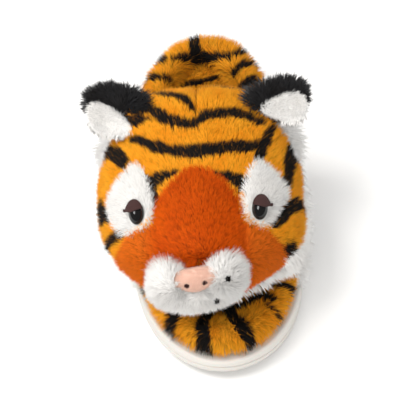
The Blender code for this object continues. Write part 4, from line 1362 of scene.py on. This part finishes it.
def make_muzzle(colours, sizes):
    """White muzzle: a ball's points moved out along their rays to two lobes over a chin, with lumps."""
    middle = muzzle_middle()[0]
    polar = np.linspace(0, math.pi, 46)[:, None]
    around = turns(64)[None]
    level = np.cos(polar) * np.ones_like(around)
    ray = np.stack([np.sin(polar) * np.cos(around), level, np.sin(polar) * np.sin(around)], -1)
    grid = middle + ray * (muzzle_reach(ray, -1.4) + 0.9 * noise(ray * 20, 8.0, 7))[..., None]
    skin = Skin((rolled(grid), False, True))
    coat = Coat(plain, 110, skin)
    seat = nose_point(0.0, 0.0)
    picked = []
    for spot in np.array(WHISKER_DOTS):
        away = skin.points - spot
        miss = np.linalg.norm(away - dot(away, FACING) * FACING, axis=1)
        turned_away = skin.normals @ FACING < 0.1
        picked.append(np.where(turned_away, np.inf, miss).argmin())
    dots, out = skin.points[picked], skin.normals[picked]

    def wanted(p, n):
        top = head_top(p[:, 0], np.maximum(p[:, 1], HEAD_START))
        hidden = (p[:, 1] > HEAD_START + 4) & (p[:, 2] < top - 2)
        nose = ((p - seat) / (NOSE_WIDTH / 2 - 1.0, 7.5, 6.5)) ** 2
        near = from_nearest(p, dots) < 1.7
        return np.where(hidden | near | (nose.sum(1) < 1), 0.0, 1.0)

    root, normal = scatter(skin, density=4.0, rng=coat.rng, wanted=wanted)
    flow = unit(root - (middle + [0, -LOBE_LENGTH / 2, 6]))
    beside_nose = np.exp(-(((np.abs(root[:, 0] - middle[0]) - 20) / 7) ** 2))
    longer = beside_nose * smooth((root[:, 2] - middle[2] - 2) / 8)
    clear = smooth((from_nearest(root, dots) - 2) / 5)
    length = (0.55 + 0.35 * clear) * sizes.pile / MM * (1 + 0.7 * longer * clear)
    coat.add(root, normal, flow, lean=30, length=length, width=0.54, clump=3.6, pull=0.5)
    marks = Coat(lambda p: (np.ones(len(p)), np.zeros(len(p))), 116)
    tufts = 90
    seats = np.repeat(dots, tufts, axis=0) + marks.rng.normal(size=(tufts * len(dots), 3)) * 0.65
    out = np.repeat(unit(out + 0.8 * FACING), tufts, axis=0)
    marks.add(seats + 0.4 * out, out, 0 * out, lean=0, length=3.6, width=0.9, pull=0.0, spread=0.25)
    finish_piece(marks.build("whisker_dots", black_plush(colours)))
    finish_piece(coat.build("white_muzzle", white_plush(colours)), ["muzzle"])


def nose_surface(polar, around):
    """Soft nose: an ellipsoid narrowed downwards, tilted onto the muzzle's front."""
    cos, sin = np.cos(around), np.sin(around)
    x = NOSE_WIDTH / 2 * np.sin(polar) * np.sign(cos) * np.abs(cos) ** 0.8
    y = NOSE_LENGTH / 2 * np.sin(polar) * np.sign(sin) * np.abs(sin) ** 0.75
    z = NOSE_DEPTH / 2 * np.cos(polar) * np.ones_like(around)
    down = -y / (NOSE_LENGTH / 2)
    x = x * (1 - 0.46 * np.clip(down, 0, None) - 0.06 * down * down)
    tilt = math.radians(NOSE_TILT)
    cos, sin = math.cos(tilt), math.sin(tilt)
    turned = np.stack([x, y * cos - z * sin, y * sin + z * cos], -1)
    up = math.radians(NOSE_TURN)
    ray = np.array([[0.0, -math.cos(up), math.sin(up)]])
    seat = muzzle_middle()[0] + ray[0] * (muzzle_reach(ray, 0.0)[0] + NOSE_LIFT)
    return rolled(seat + turned + (NOSE_SHIFT, 0.0, 0.0))


def nose_point(polar, around):
    """One point of the nose's surface."""
    return nose_surface(np.array([[polar]]), np.array([[around]]))[0, 0]


def make_nose(colours):
    """Pink nose in a short nap, with two dark stitched nostrils sunk in its front."""
    polar, around = np.linspace(0, math.pi, 40)[:, None], turns(64)[None]
    grid = nose_surface(polar, around)
    nostrils = [nose_point(0.62, a) for a in NOSTRIL_TURNS]
    back = nose_point(math.pi, 0.0)
    for spot in nostrils:
        away = np.linalg.norm(grid - spot, axis=-1, keepdims=True)
        grid = grid - unit(spot - back) * np.exp(-((away / 1.7) ** 2))
    skin = Skin((grid, False, True))

    def in_front(p, n):
        return np.where(n[:, 2] - 0.6 * n[:, 1] > -0.3, 1.0, 0.0)

    coat = Coat(lambda p: (spot_mask(p, nostrils, 1.5), np.zeros(len(p))), 111, skin)
    root, normal = scatter(skin, density=7.0, rng=coat.rng, wanted=in_front)
    flow = np.tile([0.0, -0.4, -1.0], (len(root), 1))
    coat.add(root, normal, flow, lean=45, length=1.3, width=0.42, clump=2.5, pull=0.3)
    deep = tuple(0.86 * c for c in colours.pink)
    fibres = colours.pink, deep, colours.pink, (0.05, 0.02, 0.02)
    # Painted shade darkens the roots to 0.85 of their colour.
    material = plush("pink_nap", *fibres, root=0.85, sheen=0.1)
    finish_piece(coat.build("pink_nose", material), ["nose"])


def dome(seat, axes, width, length, depth, rows=28, cols=56):
    """Half ellipsoid on a flat floor, as a closed grid from its crown to the floor's middle."""
    across, along, out = axes
    polar = np.concatenate([np.linspace(0, math.pi / 2, rows), [math.pi / 2 + 0.001]])[:, None]
    r = np.sin(polar)
    r[-1] = 0
    around = turns(cols)[None]
    u, v = width / 2 * r * np.cos(around), length / 2 * r * np.sin(around)
    w = depth * np.cos(polar) * np.ones_like(around)
    return seat + u[..., None] * across + v[..., None] * along + w[..., None] * out


def make_eyes(colours):
    """Glossy oval eyes, each under a felt lid that ends in a point on its outer side."""
    black, deep = (0.006, 0.005, 0.005), (0.003, 0.003, 0.003)
    shine = {"Coat_Weight": 0.35, "Coat_Roughness": 0.04, "Specular_IOR_Level": 0.2}
    grain = {"scale": 300.0, "depth": 0.00001, "roughness": (0.06, 0.12)}
    gloss = grained("black_gloss", black, deep, **grain, **shine)
    deep = tuple(0.6 * c for c in colours.felt)
    nap = {"Sheen_Weight": 0.05, "Specular_IOR_Level": 0.1}
    grain = {"scale": 2600.0, "depth": 0.0004, "roughness": (0.9, 0.98)}
    felt = grained("brown_felt_nap", colours.felt, deep, **grain, **nap)
    for name, side in (("left", -1), ("right", 1)):
        seat, across, along, out = eye_frame(side)
        skin = Skin((dome(seat, (across, along, out), EYE_WIDTH, EYE_LENGTH, EYE_DEPTH + 1.0), False, True))
        piece = place(f"glossy_eye_{name}", mesh_of(f"glossy_eye_{name}", skin.points, skin.tris), gloss)
        finish_piece(piece, [f"eye_{name}"])
        rx, ry = EYE_WIDTH / 2 + 0.7, EYE_LENGTH / 2 + 0.5
        share = np.linspace(0, 1, 48)[:, None]
        level = np.linspace(0, 1, 16)[None]
        over = -rx + (2 * rx + 1.8) * share
        top = ry * np.sqrt(np.clip(1 - (over / rx) ** 2, 0, 1))
        point = smooth((over - 0.3 * rx) / (0.7 * rx + 1.8))
        top = np.maximum(top, 0.5) * (1 - point) + point * (3.6 + 2.0 * (1 - share))
        low = 0.4 - 1.2 * np.sin(math.pi * share) + 1.6 * point
        u = side * over + 0 * level
        v = low + (np.maximum(top, low + 0.3) - low) * level
        flat = np.clip(1 - (u / (rx + 0.6)) ** 2 - (v / (ry + 0.6)) ** 2, 0, 1)
        sheets = []
        for rise in (0.9, -0.2):
            w = 2.4 + rise + (EYE_DEPTH - 1.3) * np.sqrt(flat)
            sheets.append(seat + u[..., None] * across + v[..., None] * along + w[..., None] * out)
        edge = [np.stack([sheets[0][:, k], sheets[1][:, k]]) for k in (0, -1)]
        ends = [np.stack([sheets[0][k], sheets[1][k]]) for k in (0, -1)]
        skin = Skin(*[(g, False, False) for g in (*sheets, *edge, *ends)])
        lid = place(f"felt_lid_{name}", mesh_of(f"felt_lid_{name}", skin.points, skin.tris), felt)
        finish_piece(lid, [f"eyelid_{name}"])


def ear_grid(side, size, lift=0.0, drop=0.0, taper=0.0, crease=0.0, shift=0.0, slope=0.0):
    """Cupped ear of a length, width and thickness, leaned and turned out from the head.

    It is flatter above, tapers towards its root and may have a sewn crease along it. The second
    value is its three directions: to its tip, upwards along it and out of its cup.
    """
    length, width, thickness = size
    polar, around = np.linspace(0, math.pi, 26)[:, None], turns(48)[None]
    x = length / 2 * np.sin(polar) * np.cos(around)
    y = width / 2 * np.sin(polar) * np.sin(around)
    y = np.where(y > 0, 0.68 * y, y) * (1 - taper + taper * x / (length / 2)) - drop
    y = y + slope * (x - length / 2)
    x = x + shift
    z = thickness / 2 * np.cos(polar) + lift + EAR_CUP * (x**2 + y**2) / (EAR_WIDTH / 2) ** 2
    z = z - crease * np.exp(-(((y - 4.0 + 0.05 * x) / 1.5) ** 2)) * smooth((np.cos(polar) + 0.1) * 3)
    sweep, rise = math.radians(EAR_SWEEP), math.radians(-EAR_RISE)
    turn = Matrix.Rotation(sweep, 3, "Z") @ Matrix.Rotation(rise, 3, "Y")
    root, _ = on_head(np.array([EAR_ROOT]), np.array([HEAD_END - EAR_SETBACK]), np.array([0.0]))
    middle = root[0] + np.array(turn @ Vector((1, 0, 0))) * (EAR_LENGTH / 2 - EAR_SINK)
    spin = np.array(turn @ Matrix.Rotation(math.radians(EAR_LEAN), 3, "X"))
    at = np.stack([x, y, z], -1) @ spin.T + middle
    return at * (side, 1, 1), spin * np.array([[side], [1], [1]])


def make_ear_back(colours, sizes, name, side):
    """Black back of an ear with a long shaggy fringe along its upper edge."""
    grid, directions = ear_grid(side, (EAR_LENGTH - 2, EAR_WIDTH - 2, EAR_THICKNESS - 1.5))
    skin = Skin((grid, False, True))
    middle = skin.points.mean(0)
    coat = Coat(plain, 112 + side, skin)
    tip, high, face = directions.T

    def wanted(p, n):
        low = ((p - middle) @ high < -5 - 0.12 * ((p - middle) @ tip)) & (n @ face > -0.8)
        return np.where(low, 0.0, 1.0)

    root, normal = scatter(skin, density=2.4, rng=coat.rng, wanted=wanted)
    raised = smooth(((root - middle) @ high + 6) / 14)
    inner = smooth((-2 - (root - middle) @ tip) / 10)
    flow = 0.6 * unit(root - middle) + (0.7 - 1.3 * inner[:, None]) * tip
    flow = flow + (1.0 * raised[:, None] - 0.2) * high + 0.35 * face
    length = sizes.fringe / MM * (0.7 + 0.3 * raised + 0.45 * inner)
    coat.add(root, normal, flow, lean=46, length=length, width=0.7, clump=4.0, pull=0.5, bend=0.04)
    piece = coat.build(f"black_ear_{name}", black_plush(colours))
    finish_piece(piece, [f"ear_back_{name}"])
    return middle, directions


def make_ear_lining(colours, sizes, name, side, middle, directions):
    """White lining in an ear's cup, with longer hair along its lower edge."""
    size = LINING_LENGTH, LINING_WIDTH, LINING_THICKNESS
    grid, _ = ear_grid(side, size, LINING_LIFT, LINING_DROP, LINING_TAPER, *LINING_FORMS[side])
    skin = Skin((grid, False, True))
    lining = Coat(plain, 114 + side, skin)
    tip, high, face = directions.T

    def in_front(p, n):
        return np.where(n @ face > -0.1, 1.0, 0.0)

    def lower_edge(p, n):
        return np.where(((p - middle) @ high < -12) & (n @ face > -0.6), 1.0, 0.0)

    root, normal = scatter(skin, density=4.0, rng=lining.rng, wanted=in_front)
    flow = np.tile(tip * 0.8 - high * 0.4, (len(root), 1))
    lining.add(root, normal, flow, lean=52, length=0.5 * sizes.pile / MM, width=0.5, clump=3.0, pull=0.3)
    root, normal = scatter(skin, density=2.6, rng=lining.rng, wanted=lower_edge)
    flow = np.tile(-high - 0.3 * tip + [0, 0, -0.5], (len(root), 1))
    length = 0.36 * sizes.ruff / MM
    lining.add(root, normal, flow, lean=64, length=length, width=0.5, clump=3.0, pull=0.35, bend=0.06)
    piece = lining.build(f"white_ear_lining_{name}", white_plush(colours))
    finish_piece(piece, [f"ear_lining_{name}"])


def make_ears(colours, sizes):
    """Both ears, each a black back and a white lining."""
    for name, side in (("left", -1), ("right", 1)):
        middle, directions = make_ear_back(colours, sizes, name, side)
        make_ear_lining(colours, sizes, name, side, middle, directions)


# Stage

VIEWPOINT = (40.2, -698.0, 872.6)
SIGHT = (32.1, 706.3, -842.6)
PHOTO_FOCUS = 1320.0
PHOTO_ACROSS = (0.999, -0.0454, 0.0)
SLIPPER_PIXEL = (-89.0, -19.0)
ZOOM = 1.24
FRAME_PIXELS = 400
SENSOR = 36.0


def make_camera():
    """Camera at the picture's viewing angle, turned onto the slipper and rolled as the picture is."""
    ahead = unit(np.array(SIGHT))
    right = np.array(PHOTO_ACROSS)
    right = unit(right - ahead * (right @ ahead))
    up = np.cross(right, ahead)
    sight = unit(ahead + (right * SLIPPER_PIXEL[0] + up * SLIPPER_PIXEL[1]) / PHOTO_FOCUS)
    up = unit(up - sight * (up @ sight))
    right = np.cross(sight, up)
    data = bpy.data.cameras.new("camera")
    data.sensor_width = SENSOR
    data.lens = PHOTO_FOCUS * ZOOM / FRAME_PIXELS * SENSOR
    data.clip_start, data.clip_end = 0.05, 50.0
    camera = bpy.data.objects.new("camera", data)
    rows = [[*row, at * MM] for row, at in zip(np.stack([right, up, -sight], 1), VIEWPOINT)]
    camera.matrix_world = Matrix([*rows, [0, 0, 0, 1]])
    bpy.context.scene.collection.objects.link(camera)
    bpy.context.scene.camera = camera


def area_light(name, place_at, aim, size, power, colour=(1.0, 0.99, 0.97)):
    """Round soft light of a size in metres and a power in watts, turned to its aim."""
    data = bpy.data.lights.new(name, "AREA")
    data.shape = "DISK"
    data.size, data.energy, data.color = size, power, colour
    light = bpy.data.objects.new(name, data)
    light.location = place_at
    light.rotation_euler = (Vector(aim) - Vector(place_at)).to_track_quat("-Z", "Y").to_euler()
    bpy.context.scene.collection.objects.link(light)
    return light


def make_floor():
    """Plain matt floor, pale under the slipper and painted paler further out, as painted light that makes
    up for the lamps' falloff there.
    """
    half, level = 6.0, -0.0002
    corners = [(-half, -half, level), (half, -half, level), (half, half, level), (-half, half, level)]
    mesh = bpy.data.meshes.new("pale_floor")
    mesh.from_pydata(corners, [], [(0, 1, 2, 3)])
    matt = bpy.data.materials.new("floor_painted_falloff")
    matt.use_nodes = True
    nodes, links = matt.node_tree.nodes, matt.node_tree.links
    kinds = ("TexCoord", "VectorMath", "MapRange", "Mix")
    where, reach, painted_light_fade, mix = (nodes.new("ShaderNode" + kind) for kind in kinds)
    reach.operation, mix.data_type = "LENGTH", "RGBA"
    # Painted light: the floor's colour pales from 0.2 m out to 0.8 m from the slipper, where the lamps give
    # less light.
    painted_light_fade.inputs["From Min"].default_value = 0.2
    painted_light_fade.inputs["From Max"].default_value = 0.8
    mix.inputs[6].default_value = (0.84, 0.835, 0.825, 1)
    mix.inputs[7].default_value = (0.985, 0.985, 0.985, 1)
    nodes["Principled BSDF"].inputs["Roughness"].default_value = 0.95
    nodes["Principled BSDF"].inputs["Specular IOR Level"].default_value = 0.1
    links.new(where.outputs["Object"], reach.inputs[0])
    links.new(reach.outputs["Value"], painted_light_fade.inputs["Value"])
    links.new(painted_light_fade.outputs["Result"], mix.inputs[0])
    links.new(mix.outputs[2], nodes["Principled BSDF"].inputs["Base Color"])
    place("pale_floor", mesh, matt)


def make_surround():
    """Bright even surround, dimmer in reflections."""
    world = bpy.data.worlds.new("studio")
    world.use_nodes = True
    nodes, links = world.node_tree.nodes, world.node_tree.links
    nodes["Background"].inputs["Color"].default_value = (1.0, 1.0, 1.0, 1)
    path, level = nodes.new("ShaderNodeLightPath"), nodes.new("ShaderNodeMapRange")
    level.inputs["To Min"].default_value = 1.0
    level.inputs["To Max"].default_value = 0.3
    links.new(path.outputs["Is Glossy Ray"], level.inputs["Value"])
    links.new(level.outputs["Result"], nodes["Background"].inputs["Strength"])
    bpy.context.scene.world = world


def make_stage():
    """Floor, surround, a soft key light from the upper left, a fill light in front and the camera."""
    make_floor()
    make_surround()
    area_light("key", (-0.58, -0.2, 1.35), (0, 0, 0.05), size=0.7, power=13.5)
    fill = area_light("fill", (-0.25, -1.25, 0.8), (0, -0.05, 0.05), size=1.0, power=5.5)
    fill.visible_glossy = False
    make_camera()
    bpy.context.scene.view_settings.view_transform = "Standard"


# Add-on


def colour_property(name, description, default):
    """Linear colour that the panel shows as a swatch."""
    words = {"name": name, "description": description}
    return FloatVectorProperty(**words, default=default, subtype="COLOR", size=3, min=0.0, max=1.0)


def length_property(name, description, default):
    """Length in metres, of at least a millimetre."""
    return FloatProperty(name=name, description=description, default=default, min=0.001, unit="LENGTH")


class SlipperColours(bpy.types.PropertyGroup):
    """Colours of the slipper's fabrics and foam, in linear values."""

    amber: colour_property("Amber", "Light fibres of the striped plush", (1.0, 0.45, 0.026))
    orange: colour_property("Orange", "Deep fibres of the striped plush", (0.90, 0.29, 0.008))
    rust: colour_property("Rust", "Light fibres of the nose bridge", (0.78, 0.115, 0.002))
    russet: colour_property("Russet", "Deep fibres of the nose bridge", (0.60, 0.070, 0.001))
    copper: colour_property("Copper", "Fibres of the cheeks", (0.82, 0.18, 0.012))
    white: colour_property("White", "Light fibres of the white plush", (0.97, 0.955, 0.93))
    cream: colour_property("Cream", "Deep fibres of the white plush", (0.90, 0.87, 0.83))
    charcoal: colour_property("Charcoal", "Fibres of the stripes", (0.013, 0.011, 0.010))
    slate: colour_property("Slate", "Light fibres of the ear backs", (0.020, 0.020, 0.022))
    pink: colour_property("Pink", "Nap of the nose", (0.88, 0.56, 0.44))
    foam: colour_property("Foam", "Moulded sole", (0.60, 0.575, 0.535))
    felt: colour_property("Felt", "Eyelids", (0.062, 0.030, 0.028))


class SlipperSizes(bpy.types.PropertyGroup):
    """Lengths of the slipper's piles."""

    pile: length_property("Pile", "Length of the short plush", 0.0054)
    ruff: length_property("Ruff", "Length of the white side fur", 0.0125)
    fringe: length_property("Ear fringe", "Length of the ears' black fur", 0.0068)


class SLIPPER_OT_sole(bpy.types.Operator):
    """Foam sole with its groove, ledge and tread"""

    bl_idname = "slipper.sole"
    bl_label = "Foam sole"

    def execute(self, context):
        make_sole(context.scene.slipper_colours)
        return {"FINISHED"}


class SLIPPER_OT_bed(bpy.types.Operator):
    """Padded rim and footbed in striped plush"""

    bl_idname = "slipper.bed"
    bl_label = "Rim and footbed"

    def execute(self, context):
        make_rim(context.scene.slipper_colours, context.scene.slipper_sizes)
        make_footbed(context.scene.slipper_colours, context.scene.slipper_sizes)
        return {"FINISHED"}


class SLIPPER_OT_upper(bpy.types.Operator):
    """Band over the instep with its lining"""

    bl_idname = "slipper.upper"
    bl_label = "Band and lining"

    def execute(self, context):
        make_upper(context.scene.slipper_colours, context.scene.slipper_sizes)
        return {"FINISHED"}


class SLIPPER_OT_head(bpy.types.Operator):
    """Stuffed head in striped plush with its white ruff"""

    bl_idname = "slipper.head"
    bl_label = "Head and ruff"

    def execute(self, context):
        make_head(context.scene.slipper_colours, context.scene.slipper_sizes)
        return {"FINISHED"}


class SLIPPER_OT_face(bpy.types.Operator):
    """Nose bridge, eye patches, muzzle, nose, eyes and lids"""

    bl_idname = "slipper.face"
    bl_label = "Face"

    def execute(self, context):
        colours, sizes = context.scene.slipper_colours, context.scene.slipper_sizes
        make_bridge(colours, sizes)
        make_patches(colours, sizes)
        make_muzzle(colours, sizes)
        make_nose(colours)
        make_eyes(colours)
        return {"FINISHED"}


class SLIPPER_OT_ears(bpy.types.Operator):
    """Two ears with black backs and white linings"""

    bl_idname = "slipper.ears"
    bl_label = "Ears"

    def execute(self, context):
        make_ears(context.scene.slipper_colours, context.scene.slipper_sizes)
        return {"FINISHED"}


class SLIPPER_OT_stage(bpy.types.Operator):
    """Floor, lights and camera"""

    bl_idname = "slipper.stage"
    bl_label = "Stage"

    def execute(self, context):
        make_stage()
        return {"FINISHED"}


STEPS = (
    SLIPPER_OT_stage,
    SLIPPER_OT_sole,
    SLIPPER_OT_bed,
    SLIPPER_OT_upper,
    SLIPPER_OT_head,
    SLIPPER_OT_face,
    SLIPPER_OT_ears,
)


class SLIPPER_PT_panel(bpy.types.Panel):
    """Builds the slipper piece by piece"""

    bl_idname = "SLIPPER_PT_panel"
    bl_label = "Plush slide slipper"
    bl_space_type = "VIEW_3D"
    bl_region_type = "UI"
    bl_category = "Slipper"

    def draw(self, context):
        for group in (context.scene.slipper_sizes, context.scene.slipper_colours):
            for name in group.__annotations__:
                self.layout.prop(group, name)
        for step in STEPS:
            self.layout.operator(step.bl_idname)


CLASSES = (SlipperColours, SlipperSizes, *STEPS, SLIPPER_PT_panel)


def register():
    """Registers the classes and hangs the two groups of properties on the scene."""
    for made in CLASSES:
        bpy.utils.register_class(made)
    bpy.types.Scene.slipper_colours = PointerProperty(type=SlipperColours)
    bpy.types.Scene.slipper_sizes = PointerProperty(type=SlipperSizes)


def unregister():
    """Takes back what register did."""
    del bpy.types.Scene.slipper_colours
    del bpy.types.Scene.slipper_sizes
    for made in reversed(CLASSES):
        bpy.utils.unregister_class(made)


def main():
    """Builds the whole slipper with the add-on's own operators."""
    register()
    for step in ("stage", "sole", "bed", "upper", "head", "face", "ears"):
        getattr(bpy.ops.slipper, step)()


if __name__ == "__main__":
    main()
